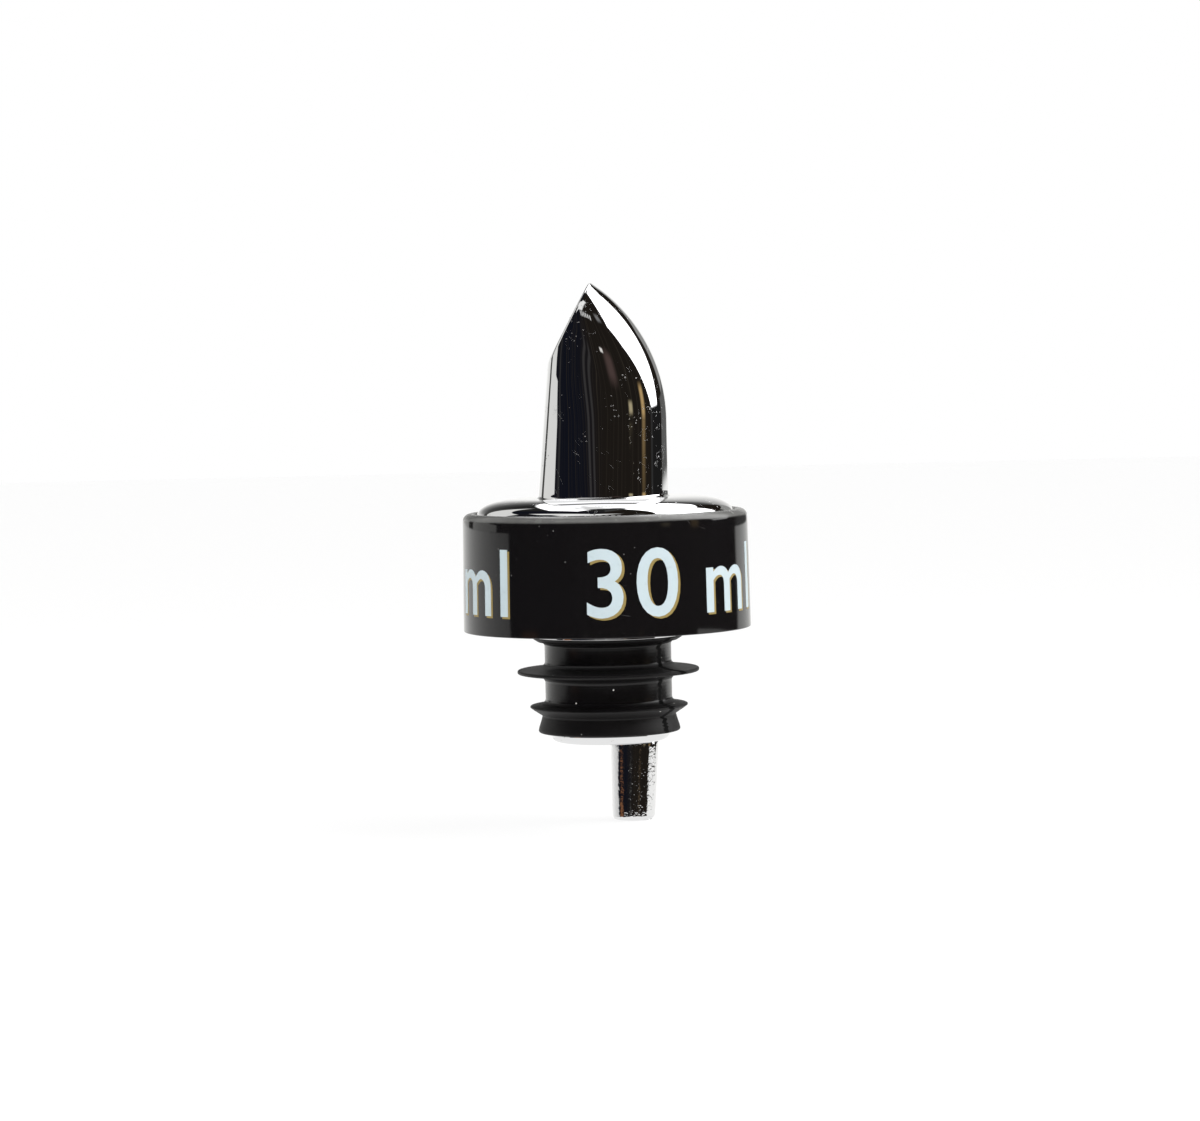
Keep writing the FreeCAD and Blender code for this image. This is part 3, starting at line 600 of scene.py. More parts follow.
@dataclass
class ChromeHead:
    """The chromed head: skirt, flange, dome and hooded spout in one skin, with an air duct inside."""

    skirt_outer: float = 14.6
    skirt_inner: float = 13.3
    skirt_foot: float = 1.6
    flange_radius: float = 15.7
    flange_under: float = 12.0
    shoulder_foot: float = 14.0
    shoulder_power: float = 3.0
    root_radius: float = 7.83
    front_radius: float = 8.1
    root_round: float = 0.3
    dome_height: float = 16.1
    wall: float = 1.2
    front_taper: float = 0.093
    arch_height: float = 25.45
    arch_radius: float = 20.2
    heel: Pair = (-6.51, 32.7)
    tip: Pair = (-1.3, 42.34)
    square_growth: float = 0.031
    most_square: float = 0.5
    rim_round: float = 0.42
    ceiling: float = 14.4
    bore_radius: float = 6.98
    passage_low: float = 16.9
    duct_centre: float = 3.0
    duct_radius: float = 2.1
    duct_top: float = 20.6
    duct_sunk: float = 0.6
    duct_curve: float = 0.04
    duct_flat: float = 0.6
    duct_round: float = 0.25
    vent_height: float = 18.9
    vent_radius: float = 0.9
    vent_cut: float = 0.72
    vent_skin: float = 0.3
    segments: int = 192
    duct_segments: int = 40
    straight_rings: int = 20
    bend_rings: int = 26
    bend_share: float = 0.9
    dome_rings: int = 26
    fillet_rings: int = 8
    halvings: int = 40
    most_turn: float = radians(70)

    def front(self, height: float) -> float:
        """Distance of the spout's front from the axis at a height of its straight part."""
        return self.front_radius - self.front_taper * (height - self.dome_height)

    def section(self, angle: float, front: float, height: float, inset: float) -> Pair:
        """A point of the spout's section: round at the back, and a squarer round at the front.

        Args:
            angle: The angle round the axis.
            front: Distance of the section's front from the axis.
            height: The section's height: the higher it is, the squarer is its front.
            inset: How far the point lies inside the spout's outer face.

        Returns:
            Its distances away from the mouth and across.
        """
        c, s = cos(angle), sin(angle)
        shift = (self.root_radius - front) / 2
        size = self.root_radius - shift - inset
        if c < 0:
            growth = (height - self.passage_low) * self.square_growth
            power = 2.0 + min(max(growth, 0.0), self.most_square)
            size *= (abs(c) ** power + abs(s) ** power) ** (-1 / power)
        return size * c + shift, size * s

    def straight(self, height: float, inset: float) -> Curve:
        """A ring of the spout's straight part."""
        return lambda angle: Vector((*self.section(angle, self.front(height), height, inset), height))

    def bent(self, share: float, inset: float) -> Curve:
        """A ring of the spout's bend, at a share of each line's way up to the mouth."""
        pivot = Vector((self.root_radius - self.arch_radius, 0, self.arch_height))
        middle = self.arch_radius - self.root_radius
        start = middle - self.front(self.arch_height)
        heel, tip = Vector((self.heel[0], 0, self.heel[1])), Vector((self.tip[0], 0, self.tip[1]))
        normal = Vector((heel.z - tip.z, 0, tip.x - heel.x)).normalized()

        def at(angle: float, turn: float) -> Vector:
            """The point of a line round the bend at a turn of the section's plane."""
            c, s = cos(turn), sin(turn)
            front = middle - start / (c - self.front_taper * s)
            x, y = self.section(angle, front, self.arch_height + middle * s, inset)
            return pivot + Vector(((middle + x) * c, y, (middle + x) * s))

        def place(angle: float) -> Vector:
            """Place one vertex at its share of the way to the mouth."""
            low, high = 0.0, self.most_turn
            for _ in range(self.halvings):
                half = (low + high) / 2
                if (at(angle, half) - heel).dot(normal) < 0:
                    low = half
                else:
                    high = half
            return at(angle, low * share)

        return place

    def spout_rings(self, low: float, inset: float) -> list[Curve]:
        """The rings of the spout from a height up to the mouth."""
        heights = spread(low, self.arch_height, self.straight_rings)
        shares = (*spread(0.0, self.bend_share, self.bend_rings)[1:], 1.0)
        rings = [self.straight(height, inset) for height in heights]
        return rings + [self.bent(share, inset) for share in shares]

    def dome(self) -> list[Curve]:
        """The rings of the shoulder and the dome, steep at the edge and nearly flat at the spout."""
        edge, foot = polar(self.flange_radius, 0.0), self.straight(self.dome_height, -self.root_round)
        low, rise, power = self.shoulder_foot, self.dome_height - self.shoulder_foot, 2 / self.shoulder_power
        return [
            self.between(edge, foot, 1 - sin(turn) ** power, low + rise * cos(turn))
            for turn in turns(90, 0, self.dome_rings)
        ]

    @staticmethod
    def between(first: Curve, last: Curve, share: float, height: float) -> Curve:
        """A ring that lies at a share of the way from one ring to another, at a height of its own."""
        return lambda angle: Vector((*first(angle).lerp(last(angle), share).xy, height))

    def fillet(self) -> list[Curve]:
        """The rings of the round between the dome and the spout."""
        foot, size = self.dome_height, self.root_round
        return [
            self.straight(foot + size * (1 - cos(turn)), size * (sin(turn) - 1))
            for turn in turns(0, 90, self.fillet_rings)[1:-1]
        ]

    def build(self) -> Piece:
        """The whole head as one closed skin, with the duct and the vent."""
        skin = Skin(self.segments)
        first = skin.start((self.skirt_outer, self.skirt_foot))
        rings = [
            (self.skirt_outer, self.flange_under),
            (self.flange_radius, self.flange_under),
            (self.flange_radius, (self.flange_under + self.shoulder_foot) / 2),
            *self.dome(),
            *self.fillet(),
        ]
        last = skin.grow(first, rings)
        rim = skin.grow(last, self.spout_rings(self.dome_height + self.root_round, 0.0))
        inner = Skin(self.segments, skin.bm, skin.angles)
        low = inner.start((self.skirt_inner, self.skirt_foot))
        passage = [
            (self.skirt_inner, self.ceiling),
            (self.bore_radius, self.ceiling),
            (self.bore_radius, self.passage_low),
        ]
        mouth = inner.grow(low, passage + self.spout_rings(self.passage_low + 0.02, self.wall))
        skin.join(first, low)
        skin.join(rim, mouth)
        self.pierce(skin)
        for ring, size, steps in ((rim, self.rim_round, 5), (mouth, self.rim_round / 2, 3)):
            skin.bevel(skin.edges([vert for vert in ring if vert.is_valid]), size, steps)
        self.add_duct(skin)
        piece = finished(skin.bm, "chrome_head", sharp=32.0)
        return dress(piece, CHROME, Body.ROOT, Slot.CHROME, "spout_head")

    def pierce(self, skin: Skin) -> None:
        """Sink the vent into the back of the spout."""
        middle = Vector((self.root_radius, 0, self.vent_height))
        reach = self.vent_radius * self.vent_cut
        near = []
        for face in skin.bm.faces:
            off = face.calc_center_median() - middle
            if abs(off.y) < reach and abs(off.z) < reach and off.x > -self.vent_skin:
                near.append(face)
        bmesh.ops.delete(skin.bm, geom=near, context="FACES")
        rim = skin.open_edges()
        for vert in {vert for e in rim for vert in e.verts}:
            across = atan2(vert.co.z - middle.z, vert.co.y)
            vert.co.y = self.vent_radius * cos(across)
            vert.co.z = middle.z + self.vent_radius * sin(across)
            vert.co.x = sqrt(self.root_radius**2 - vert.co.y**2)
        for vert in verts_of(bmesh.ops.extrude_edge_only(skin.bm, edges=rim)["geom"]):
            vert.co.x = self.duct_centre + self.duct_radius
        bmesh.ops.holes_fill(skin.bm, edges=skin.open_edges())

    def add_duct(self, skin: Skin) -> None:
        """Add the air duct up the inside of the back, as a closed column joined to the wall."""
        fresh = bmesh.ops.create_cone(
            skin.bm,
            cap_ends=True,
            segments=self.duct_segments,
            radius1=self.duct_radius,
            radius2=self.duct_radius,
            depth=self.duct_top - self.ceiling,
            matrix=Matrix.Translation((self.duct_centre, 0, (self.duct_top + self.ceiling) / 2)),
        )["verts"]
        for vert in fresh:
            if vert.co.x > self.duct_centre + CLOSE:
                wide = abs(vert.co.y) > self.duct_flat
                side = copysign(self.duct_radius, vert.co.y) if wide else vert.co.y
                vert.co.y = side
                vert.co.x = self.root_radius - self.duct_sunk - self.duct_curve * side * side
        top = [vert for vert in fresh if vert.co.z > self.duct_top - CLOSE]
        skin.bevel(skin.edges(top), self.duct_round, 3)


@dataclass(frozen=True)
class Layer:
    """One ink of the print: how far it stands out, how fat its strokes are and how it is moved."""

    name: str
    finish: Finish
    proud: float
    fat: float
    shift: Pair = (0.0, 0.0)


@dataclass
class PrintCollar:
    """The gloss black collar and the measure printed on it three times."""

    foot_radius: float = 17.59
    top_radius: float = 17.4
    height: float = 14.4
    rim_round: float = 0.95
    foot_round: float = 0.12
    flange_bore: float = 16.0
    lip_bore: float = 14.7
    plate_bore: float = 15.7
    lip_top: float = 11.85
    lip_low: float = 1.75
    print_middle: float = 35.0
    print_low: float = 2.6
    digit_tall: float = 8.0
    digit_share: float = 0.7
    strip_wide: float = 0.45
    sunk: float = 0.05
    repeats: int = 3
    layers: tuple[Layer, ...] = (
        Layer("shadow", GOLD_INK, 0.012, 0.12, (0.3, -0.22)),
        Layer("face", SILVER_INK, 0.024, 0.1),
    )

    def build(self) -> list[Piece]:
        """The ring, with its rounded rim and foot, and its print."""
        rings = [
            (self.plate_bore, 0.0),
            (self.foot_radius - 0.9, 0.0),
            *roll(self.foot_radius - self.foot_round, self.foot_round, self.foot_round, 270, 360, 5),
            *((self.outside(h), h) for h in (2.5, 5.0, 7.5, 10.0, 12.4, 13.35)),
            *roll(self.top_radius - self.rim_round, self.height - self.rim_round, self.rim_round, 0, 90, 12),
            (self.flange_bore + 0.14, self.height),
            (self.flange_bore + 0.04, self.height - 0.05),
            (self.flange_bore, self.height - 0.16),
            (self.flange_bore, self.lip_top),
            (self.lip_bore, self.lip_top),
            (self.lip_bore, self.lip_low),
            (self.plate_bore, self.lip_low),
        ]
        ring = turned("collar_ring", rings, segments=192)
        dress(ring, BLACK, Body.COLLAR, Slot.COLLAR, "print_collar")
        return [ring, *(self.print_layer(layer, n) for layer in self.layers for n in range(self.repeats))]

    def outside(self, height: float) -> float:
        """Radius of the outside at a height, which is drafted."""
        return self.foot_radius - (self.foot_radius - self.top_radius) / self.height * height

    def print_layer(self, layer: Layer, number: int) -> Piece:
        """One layer of the printed measure, wrapped round the collar.

        Args:
            layer: The layer.
            number: Which of the measure's repeats round the collar it belongs to.

        Returns:
            The layer, dressed.
        """
        name = f"measure_{layer.name}_{number + 1}"
        middle = radians(self.print_middle + 360 / self.repeats * number - 90)
        text = bpy.data.curves.new(name, "FONT")
        text.body = "30 ml"
        text.size = self.digit_tall / self.digit_share
        text.space_character = 1.1
        text.space_word = 0.7
        text.offset = layer.fat
        text.resolution_u = 6
        text.align_x = "CENTER"
        flat = placed(name, text)
        mesh = bpy.data.meshes.new_from_object(flat)
        bpy.data.objects.remove(flat)
        bm = bmesh.new()
        bm.from_mesh(mesh)
        bmesh.ops.remove_doubles(bm, verts=bm.verts[:], dist=1e-5)
        wide = max(abs(vert.co.x) for vert in bm.verts)
        for at in spread(-wide, wide, int(wide * 2 / self.strip_wide))[1:-1]:
            geom = bm.verts[:] + bm.edges[:] + bm.faces[:]
            bmesh.ops.bisect_plane(bm, geom=geom, plane_co=(at, 0, 0), plane_no=(1, 0, 0))
        lifted = set(verts_of(bmesh.ops.extrude_face_region(bm, geom=bm.faces[:])["geom"]))
        bmesh.ops.translate(bm, vec=(0, 0, self.digit_tall), verts=list(lifted))
        bmesh.ops.recalc_face_normals(bm, faces=bm.faces[:])
        for vert in bm.verts:
            up = vert.co.y + self.print_low + layer.shift[1]
            radius = self.outside(up) + (layer.proud if vert in lifted else -self.sunk)
            vert.co = polar(radius, up)(middle + (vert.co.x + layer.shift[0]) / self.top_radius)
        piece = finished(bm, name, sharp=30.0, outwards=False)
        return dress(piece, layer.finish, Body.COLLAR, Slot.COLLAR)


@dataclass
class StopperCore:
    """The base plate with its spigot, the boss under the collar and the tube inside the cork."""

    plate_radius: float = 15.4
    plate_thick: float = 1.6
    boss_radius: float = 9.4
    boss_deep: float = 0.85
    tube_outer: float = 6.15
    tube_inner: float = 5.2
    tube_deep: float = 12.6
    spigot_outer: float = 13.27
    spigot_inner: float = 11.97
    spigot_top: float = 4.4
    groove: tuple[float, float, float] = (12.53, 2.4, 3.4)
    edge_round: float = 0.12
    foot_round: float = 0.05

    def build(self) -> Piece:
        """The plate and tube as one turned piece."""
        floor, low, high = self.groove
        edge, foot = self.edge_round, self.foot_round
        rings = [
            (self.tube_inner, -self.tube_deep),
            (self.tube_outer, -self.tube_deep),
            (self.tube_outer, -self.boss_deep),
            (self.boss_radius - 0.08, -self.boss_deep),
            *roll(self.boss_radius - foot, foot - self.boss_deep, foot, 270, 360, 3),
            *roll(self.boss_radius + edge, -edge, edge, 180, 90, 3),
            (self.plate_radius - 0.15, 0.0),
            *roll(self.plate_radius - edge, edge, edge, 270, 360, 3),
            (self.plate_radius, self.plate_thick),
            (self.spigot_outer, self.plate_thick),
            (self.spigot_outer, low),
            (floor, low),
            (floor, high),
            (self.spigot_outer, high),
            (self.spigot_outer, self.spigot_top),
            (self.spigot_inner, self.spigot_top),
            (self.spigot_inner, self.plate_thick),
            (self.tube_inner, self.plate_thick),
        ]
        piece = turned("base_plate", rings, segments=160)
        return dress(piece, CHROME, Body.ROOT, Slot.CHROME, "stopper_core")


@dataclass
class Cork:
    """The finned rubber stopper."""

    bore: float = 6.18
    top: float = -0.85
    body: float = 7.76
    fin: float = 11.14
    lip: float = 9.66
    waist: float = 8.19
    bead: float = 8.69
    end: float = -12.6

    def build(self) -> Piece:
        """The stopper, with soft edges on its fins."""
        rings = [
            (self.bore, self.top),
            (9.0, self.top),
            *roll(9.03, -1.0, 0.15, 90, -60, 4),
            *self.hollow(8.6, -1.45, -2.0, 5),
            *self.hollow(8.75, -4.66, -3.92, 6)[::-1],
            (9.6, -4.82),
            (10.6, -4.93),
            *roll(self.fin - 0.2, -5.14, 0.2, 84, 0, 4),
            *roll(self.fin - 0.2, -5.2, 0.2, 0, -84, 4),
            (10.4, -5.46),
            (9.5, -5.6),
            *self.hollow(8.75, -5.74, -6.48, 6),
            *self.hollow(8.5, -9.14, -8.42, 6)[::-1],
            (9.1, -9.27),
            *roll(self.lip - 0.1, -9.44, 0.1, 80, 0, 3),
            *roll(self.lip - 0.1, -9.48, 0.1, 0, -60, 3),
            (9.2, -9.86),
            (8.5, -10.32),
            (self.waist + 0.03, -10.5),
            (self.waist, -10.6),
            (self.waist + 0.03, -10.72),
            (8.4, -11.35),
            (8.6, -11.95),
            *roll(self.bead - 0.22, self.end + 0.22, 0.22, 12, -90, 7),
            (self.bore, self.end),
        ]
        piece = turned("stopper", rings, segments=192, sharp=50.0)
        return dress(piece, CORK_RUBBER, Body.ROOT, Slot.CORK, "cork_sleeve")

    def hollow(self, radius: float, height: float, middle: float, steps: int) -> list[Pair]:
        """Rings of the hollow side that runs from a flange or fin to the body.

        Args:
            radius: Radius at the flange or fin.
            height: Height at the flange or fin.
            middle: Height at which the body's own radius is reached.
            steps: How many parts the side has.

        Returns:
            The rings, from the flange or fin to the body.
        """
        out, up = radius - self.body, height - middle
        return [
            (self.body + out * (1 - sin(turn)), middle + up * cos(turn))
            for turn in turns(0, 90, steps)
        ]


@dataclass
class EndCap:
    """The plate at the end of the cork, with the inlet and the breather's socket."""

    radius: float = 7.5
    low: float = -13.75
    high: float = -12.6
    plug_radius: float = 5.17
    plug_top: float = -10.8
    edge_round: float = 1.12
    face_radius: float = 6.2
    inlet_radius: float = 2.3
    inlet_at: float = -2.4
    socket_radius: float = 1.78
    socket_at: float = 3.0
    segments: int = 144
    hole_segments: int = 48

    def build(self) -> Piece:
        """The plate and plug as a turned skin with two holes bored right through."""
        skin = Skin(self.segments)
        first = skin.start((self.face_radius, self.low))
        edge = self.edge_round
        rings = [
            (self.radius - edge - 0.1, self.low),
            *roll(self.radius - edge, self.low + edge, edge, 270, 360, 8),
            (self.radius, self.high),
            (self.plug_radius, self.high),
            (self.plug_radius, self.plug_top),
        ]
        last = skin.grow(first, rings)
        bores = ((self.inlet_radius, self.inlet_at), (self.socket_radius, self.socket_at))
        for ring, height in ((first, self.low), (last, self.plug_top)):
            holes = [skin.circle(self.hole_segments, radius, at, height) for radius, at in bores]
            edges = [e for group in (ring, *holes) for e in skin.edges(group)]
            bmesh.ops.triangle_fill(skin.bm, edges=edges, use_beauty=True)
        for radius, at in bores:
            near = [e for e in skin.open_edges() if dist(e.verts[0].co[:2], (at, 0)) < radius + CLOSE]
            bmesh.ops.bridge_loops(skin.bm, edges=near)
        return dress(finished(skin.bm, "end_plate"), CHROME, Body.ROOT, Slot.CHROME, "end_cap")


@dataclass
class Breather:
    """The chromed breather tube, with its rounded end."""

    at: float = 3.0
    top: float = -13.75
    low: float = -23.55
    top_radius: float = 3.0
    end_radius: float = 2.65
    end_round: float = 0.6
    lean: float = 0.034
    bore: float = 1.9
    shoulder: float = -16.3
    tube_bore: float = 1.13
    neck: float = 1.75
    neck_top: float = -10.8

    def build(self) -> Piece:
        """The tube, turned about its own axis and then set off to the side."""
        slope = (self.top_radius - self.end_radius) / (self.top - self.low)
        lean = degrees(atan(slope))
        edge = self.end_round
        outside = [
            (self.end_radius - edge - 0.04, self.low),
            *roll(self.end_radius - edge, self.low + edge, edge, 270, 360 - lean, 8),
            *((self.end_radius + slope * step, self.low + step) for step in (1.4, 3.0, 5.0, 7.0, 9.0)),
            (self.top_radius - 0.04, self.top - 0.1),
            (self.top_radius - 0.1, self.top),
        ]
        rings = [
            (self.bore, self.low + 0.12),
            (self.bore + 0.06, self.low),
            *(self.leaning(polar(*ring)) for ring in outside),
            (self.neck, self.top),
            (self.neck, self.neck_top),
            (self.tube_bore, self.neck_top),
            (self.tube_bore, self.shoulder),
            (self.bore, self.shoulder),
        ]
        piece = turned("breather", rings, segments=112)
        piece.data.transform(Matrix.Translation((self.at * MM, 0, 0)))
        return dress(piece, TUBE_CHROME, Body.ROOT, Slot.CHROME, "breather_tube")

    def leaning(self, ring: Curve) -> Curve:
        """A ring moved towards the mouth, the more the lower it lies."""
        return lambda angle: ring(angle) + Vector(((ring(angle).z - self.top) * self.lean, 0, 0))


KEPT_NODES = {
    SEAL_RUBBER: ("skirt_gasket", "seat_ring", "air_seal"),
    NATURAL: ("check_seat", "valve_seat", "timer_cup"),
    RED: ("metering_plug",),
    BALL_STEEL: ("check_ball", "timer_ball"),
    TUBE_STEEL: ("air_tube",),
}


@dataclass(frozen=True)
class Panel:
    """A soft-edged patch of the room, in degrees round from the camera and up from level."""

    around: Pair
    up: Pair
    colour: Colour
    soft: Pair

    def over(self, around: Socket, up: Socket) -> tuple[Socket, Colour]:
        """The panel's mask, and its colour."""
        mask = around.between(*self.around, self.soft[0]) * up.between(*self.up, self.soft[1])
        return mask, self.colour


@dataclass
class Studio:
    """The floor, the light all round, the lamps and the camera."""

    floor_height: float = -23.56
    floor_reach: float = 1500.0
    scale: float = 8.17
    frame_wide: float = 1200.0
    away: float = 440.0
    level: float = 32.0
    aim: Pair = (-0.72, 8.3)
    roll: float = 1.28
    sensor_wide: float = 36.0
    lamps: tuple[tuple, ...] = (
        ("key", (-260, -300, 330), 0.9),
        ("fill", (330, -120, 240), 0.6),
        ("front", (40, -430, 120), 0.55),
    )
    lamp_wide: float = 220.0
    lamp_aim: float = 5.0
    floor_glow: float = 1.05
    floor_white: float = 0.8
    fade_reach: float = 40.0
    behind_left: tuple[Pair, ...] = (
        (2, 1.0), (4, 0.92), (8, 0.63), (11, 0.42), (14, 0.26),
        (18, 0.14), (22, 0.065), (26, 0.045), (30, 0.02),
    )
    behind_right: tuple[Pair, ...] = (
        (2, 1.0), (4, 0.95), (10, 0.75), (15, 0.6), (19, 0.48),
        (22, 0.36), (25, 0.17), (28, 0.08), (34, 0.05),
    )
    front_panels: tuple[Panel, ...] = (
        Panel((-91, -86), (-60, 34), (0.032, 0.031, 0.032), (4, 12)),
        Panel((-24, -20.5), (-4, 30), (0.04, 0.038, 0.038), (2.5, 10)),
        Panel((-16.5, -13.5), (-4, 26), (0.038, 0.036, 0.036), (2, 8)),
        Panel((73, 80), (1, 15), (0.5, 0.34, 0.15), (5, 5)),
        Panel((46, 53), (3, 8), (0.42, 0.36, 0.22), (4, 3)),
        Panel((16, 30), (15, 29), (0.075, 0.05, 0.045), (10, 8)),
        Panel((11, 16.5), (27.5, 30), (0.8, 0.78, 0.74), (2, 1.2)),
        Panel((36, 48), (50, 55), (0.2, 0.2, 0.2), (6, 4)),
        Panel((-72, -58), (-20, -8.6), (0.2, 0.09, 0.045), (6, 3)),
        Panel((-19, -16.5), (-20, -8.6), (0.11, 0.11, 0.1), (1.5, 3)),
        Panel((25, 29), (-20, -8.6), (0.09, 0.065, 0.04), (2, 3)),
    )
    side_panels: tuple[Panel, ...] = (
        Panel((-161, -144), (-8, 3.5), (0.84, 0.84, 0.82), (8, 2)),
        Panel((94, 126), (-2.1, 4.8), (0.012, 0.012, 0.012), (4, 1.2)),
        Panel((95, 99), (-2.1, 5.0), (0.035, 0.035, 0.035), (4, 1.2)),
        Panel((130, 161), (-1.7, 5.4), (0.12, 0.12, 0.117), (5, 1.0)),
        Panel((141, 161), (5.4, 22), (0.3, 0.3, 0.29), (4, 1.0)),
    )

    def build(self) -> None:
        """Set up everything that isn't the object."""
        self.add_floor()
        self.light_room()
        self.add_lamps()
        self.add_camera()

    def add_floor(self) -> None:
        """A plain pale floor under the tube's end."""
        bm = bmesh.new()
        bmesh.ops.create_grid(bm, x_segments=2, y_segments=2, size=self.floor_reach)
        bmesh.ops.translate(bm, vec=(0, 0, self.floor_height), verts=bm.verts[:])
        floor = finished(bm, "floor", outwards=False)
        made = bpy.data.materials.new("pale_floor")
        made.use_nodes = True
        nodes = Nodes(made.node_tree)
        matt = nodes.add("BsdfDiffuse", None, {"Color": (0.9, 0.9, 0.9, 1.0)})
        glow = {"Color": (1.0, 1.0, 1.0, 1.0), "Strength": self.floor_glow}
        white = nodes.add("Emission", None, glow)
        seen = nodes.add("LightPath", output="Is Camera Ray") * self.floor_white
        shader = nodes.add("MixShader", None, {0: seen, 1: matt, 2: white})
        nodes.add("OutputMaterial", None, {"Surface": shader})
        floor.data.materials.append(made)
        floor.visible_glossy = False

    def room(self, nodes: Nodes) -> Socket:
        """What a mirror sees, in degrees round from the camera and up from level.

        The front is dark, with a soft box at the left and two overhead, and the room behind is pale.
        """
        x, y, z = nodes.split(nodes.add("TexCoord", output="Generated"))
        around = x.math("ARCTAN2", -y) * DEGREES
        up = z.math("ARCSINE") * DEGREES
        streak = nodes.noise(nodes.combine(around * 0.16, up * 0.004, 0.0), 2.2, 3.0, 0.6)
        left_far = (up - 10.0).math("MAXIMUM", 0.0) * 0.9 + 134.0
        left_near = ((up - 4.2).math("MAXIMUM", 0.0) * 6.0 + 98.0).math("MINIMUM", 108.0)
        span = (-around - left_near).above(0.0, 1.5) * (-around - left_far).below(0.0, 1.5)
        line = (-around - left_far).between(1.0, 8.5, 2.0) * up.between(-3.0, 34.0, 2.0)
        brim = around.above(-106, 1.0) * -0.35 - 0.9
        again = nodes.add("LightPath", output="Glossy Depth").above(1.5, 0.1)
        again = again * abs(around).below(140, 6) * up.between(3.5, 66, 3)
        scene = nodes.lay(
            nodes.mix(around.above(-20, 50), (0.006, 0.007, 0.012), (0.013, 0.0105, 0.0085)),
            (streak.above(0.6, 0.16), (0.03, 0.025, 0.019)),
            *(panel.over(around, up) for panel in self.front_panels),
            (around.below(-144, 3), self.fade(nodes, up, self.behind_left)),
            (around.above(161, 6), self.fade(nodes, up, self.behind_right)),
            *(panel.over(around, up) for panel in self.side_panels),
            (span * up.between(-0.9, 42.0, 0.8), (0.78, 0.78, 0.755)),
            (line, (0.065, 0.065, 0.06)),
            (
                around.below(-84, 3) * (up - brim).below(0.0, 0.4),
                nodes.mix((around + 84.0) / -66.0, (0.62, 0.62, 0.61), (1.15, 1.15, 1.13)),
            ),
            (around.above(129, 6) * up.below(-1.7, 0.4), (1.0, 1.0, 0.98)),
            (around.above(77, 3) * up.below(-8.8, 0.6), (1.0, 1.0, 0.98)),
            (up.below(-20, 3), (0.95, 0.95, 0.94)),
            (
                again * (1.0 - up.between(28.5, 36.0, 2.0) * 0.85),
                nodes.mix(up.above(21.0, 2.0), (1.05, 1.05, 1.04), (1.6, 1.6, 1.6)),
            ),
        )
        return self.overhead(nodes, scene, x / z, y / z, up.above(4.6, 1.6))

    def fade(self, nodes: Nodes, up: Socket, fades: Sequence[Pair]) -> Socket:
        """The pale room behind, which grows darker upwards."""
        stops = [(height / self.fade_reach, (value, value, value * 0.98)) for height, value in fades]
        return nodes.add("ValToRGB", {"stops": stops}, {"Fac": up / self.fade_reach})

    def overhead(self, nodes: Nodes, scene: Socket, along: Socket, away: Socket, above: Socket) -> Socket:
        """Lay what hangs overhead over the room: two soft boxes, a bar, a row of lamps and a window.

        Args:
            nodes: The world's nodes.
            scene: The room so far.
            along: How far to the right a plane overhead is met, in shares of its height.
            away: How far from the camera's side it is met.
            above: A mask of what lies well above level.

        Returns:
            The room with all its lights.
        """
        front = (along * -1.3 + 0.55).math("MAXIMUM", (along - 1.4).math("MAXIMUM", 0.0) * 0.2 - 0.5)
        back = (along * -0.8 + 1.72).math("MINIMUM", along * -1.98 + 2.21)
        back = back.math("MAXIMUM", along * 0.45 + 0.545)
        right = along.above(0.12, 0.03) * (away - front).above(0.0, 0.05) * (away - back).below(0.0, 0.1)
        left = (along - away * 0.08).above(-0.375, 0.03) * along.below(0.05, 0.03)
        left = left * (away - abs(along + 0.18) * 1.7).above(0.25, 0.08) * away.below(2.7, 0.2)
        bar = abs(away + along * 0.9 + 0.62).below(0.17, 0.05) * along.between(-0.78, -0.15, 0.04)
        lamps = abs(away + 0.78).below(0.07, 0.05) * along.between(-0.3, 0.25, 0.04) * 0.7
        lamps = lamps * (along * 62.0).math("SINE").above(-0.3, 0.5)
        window = away.between(-0.69, -0.35, 0.05) * (along - away).below(0.55, 0.06)
        window = window * along.above(-0.75, 0.05)
        lights = bar.math("MAXIMUM", lamps).math("MAXIMUM", window)
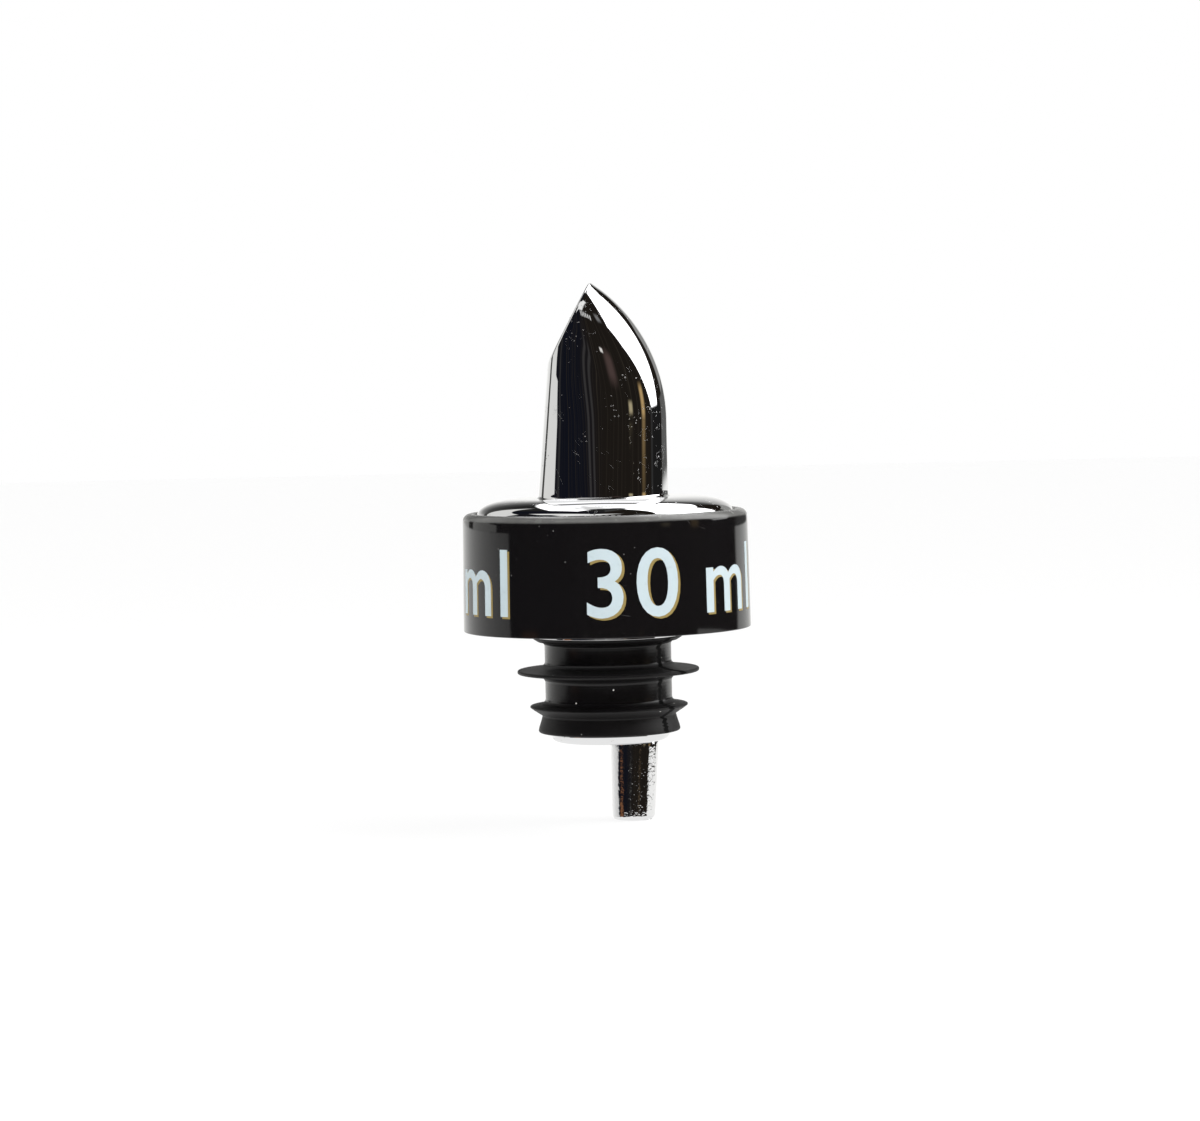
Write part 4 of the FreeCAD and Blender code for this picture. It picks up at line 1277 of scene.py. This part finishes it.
        return nodes.lay(
            scene,
            (above * lights, (0.95, 0.95, 0.93)),
            (above * left, (2.4, 2.4, 2.4)),
            (above * right, (2.8, 2.8, 2.8)),
        )

    def light_room(self) -> None:
        """White to the camera, and a room to everything else."""
        world = bpy.data.worlds.new("studio")
        bpy.context.scene.world = world
        world.use_nodes = True
        nodes = Nodes(world.node_tree)
        camera = nodes.add("LightPath", output="Is Camera Ray")
        colour = nodes.mix(camera, self.room(nodes), (1.0, 1.0, 1.0))
        light = nodes.add("Background", None, {"Color": colour, "Strength": 1.0})
        nodes.add("OutputWorld", None, {"Surface": light})

    def add_lamps(self) -> None:
        """Three soft lamps, which mirrors don't see."""
        for name, place, power in self.lamps:
            lamp = bpy.data.lights.new(name, "AREA")
            lamp.energy = power
            lamp.size = self.lamp_wide * MM
            made = placed(name, lamp)
            made.location = Vector(place) * MM
            towards = Vector((0, 0, self.lamp_aim)) * MM - made.location
            made.rotation_euler = towards.to_track_quat("-Z", "Y").to_euler()
            made.visible_glossy = False
            made.visible_camera = False

    def add_camera(self) -> None:
        """The camera, level with the spout's bend and rolled so that the object leans a little."""
        data = bpy.data.cameras.new("camera")
        made = placed("camera", data)
        made.location = Vector((self.aim[0], -self.away, self.level)) * MM
        towards = Vector((self.aim[0], 0, self.aim[1])) * MM - made.location
        turn = towards.to_track_quat("-Z", "Y").to_matrix().to_4x4()
        lean = Matrix.Rotation(radians(-self.roll), 4, "Z")
        made.matrix_world = Matrix.Translation(made.location) @ turn @ lean
        data.sensor_width = self.sensor_wide
        data.sensor_fit = "HORIZONTAL"
        width = self.frame_wide / self.scale * MM
        data.lens = self.sensor_wide * towards.length / width
        data.clip_start = 0.01
        bpy.context.scene.camera = made


def main() -> None:
    """Load the frame, build and dress every piece, and set the stage."""
    logging.basicConfig(level=logging.INFO, format="%(message)s")
    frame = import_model()
    Studio().build()
    for assembly in (ChromeHead(), StopperCore(), Cork(), EndCap(), Breather(), PrintCollar()):
        assembly.build()
    for finish, names in KEPT_NODES.items():
        for name in names:
            finish.put_on(frame["nodes"][name])
    bpy.context.scene.view_settings.view_transform = "Standard"


if __name__ == "__main__":
    main()
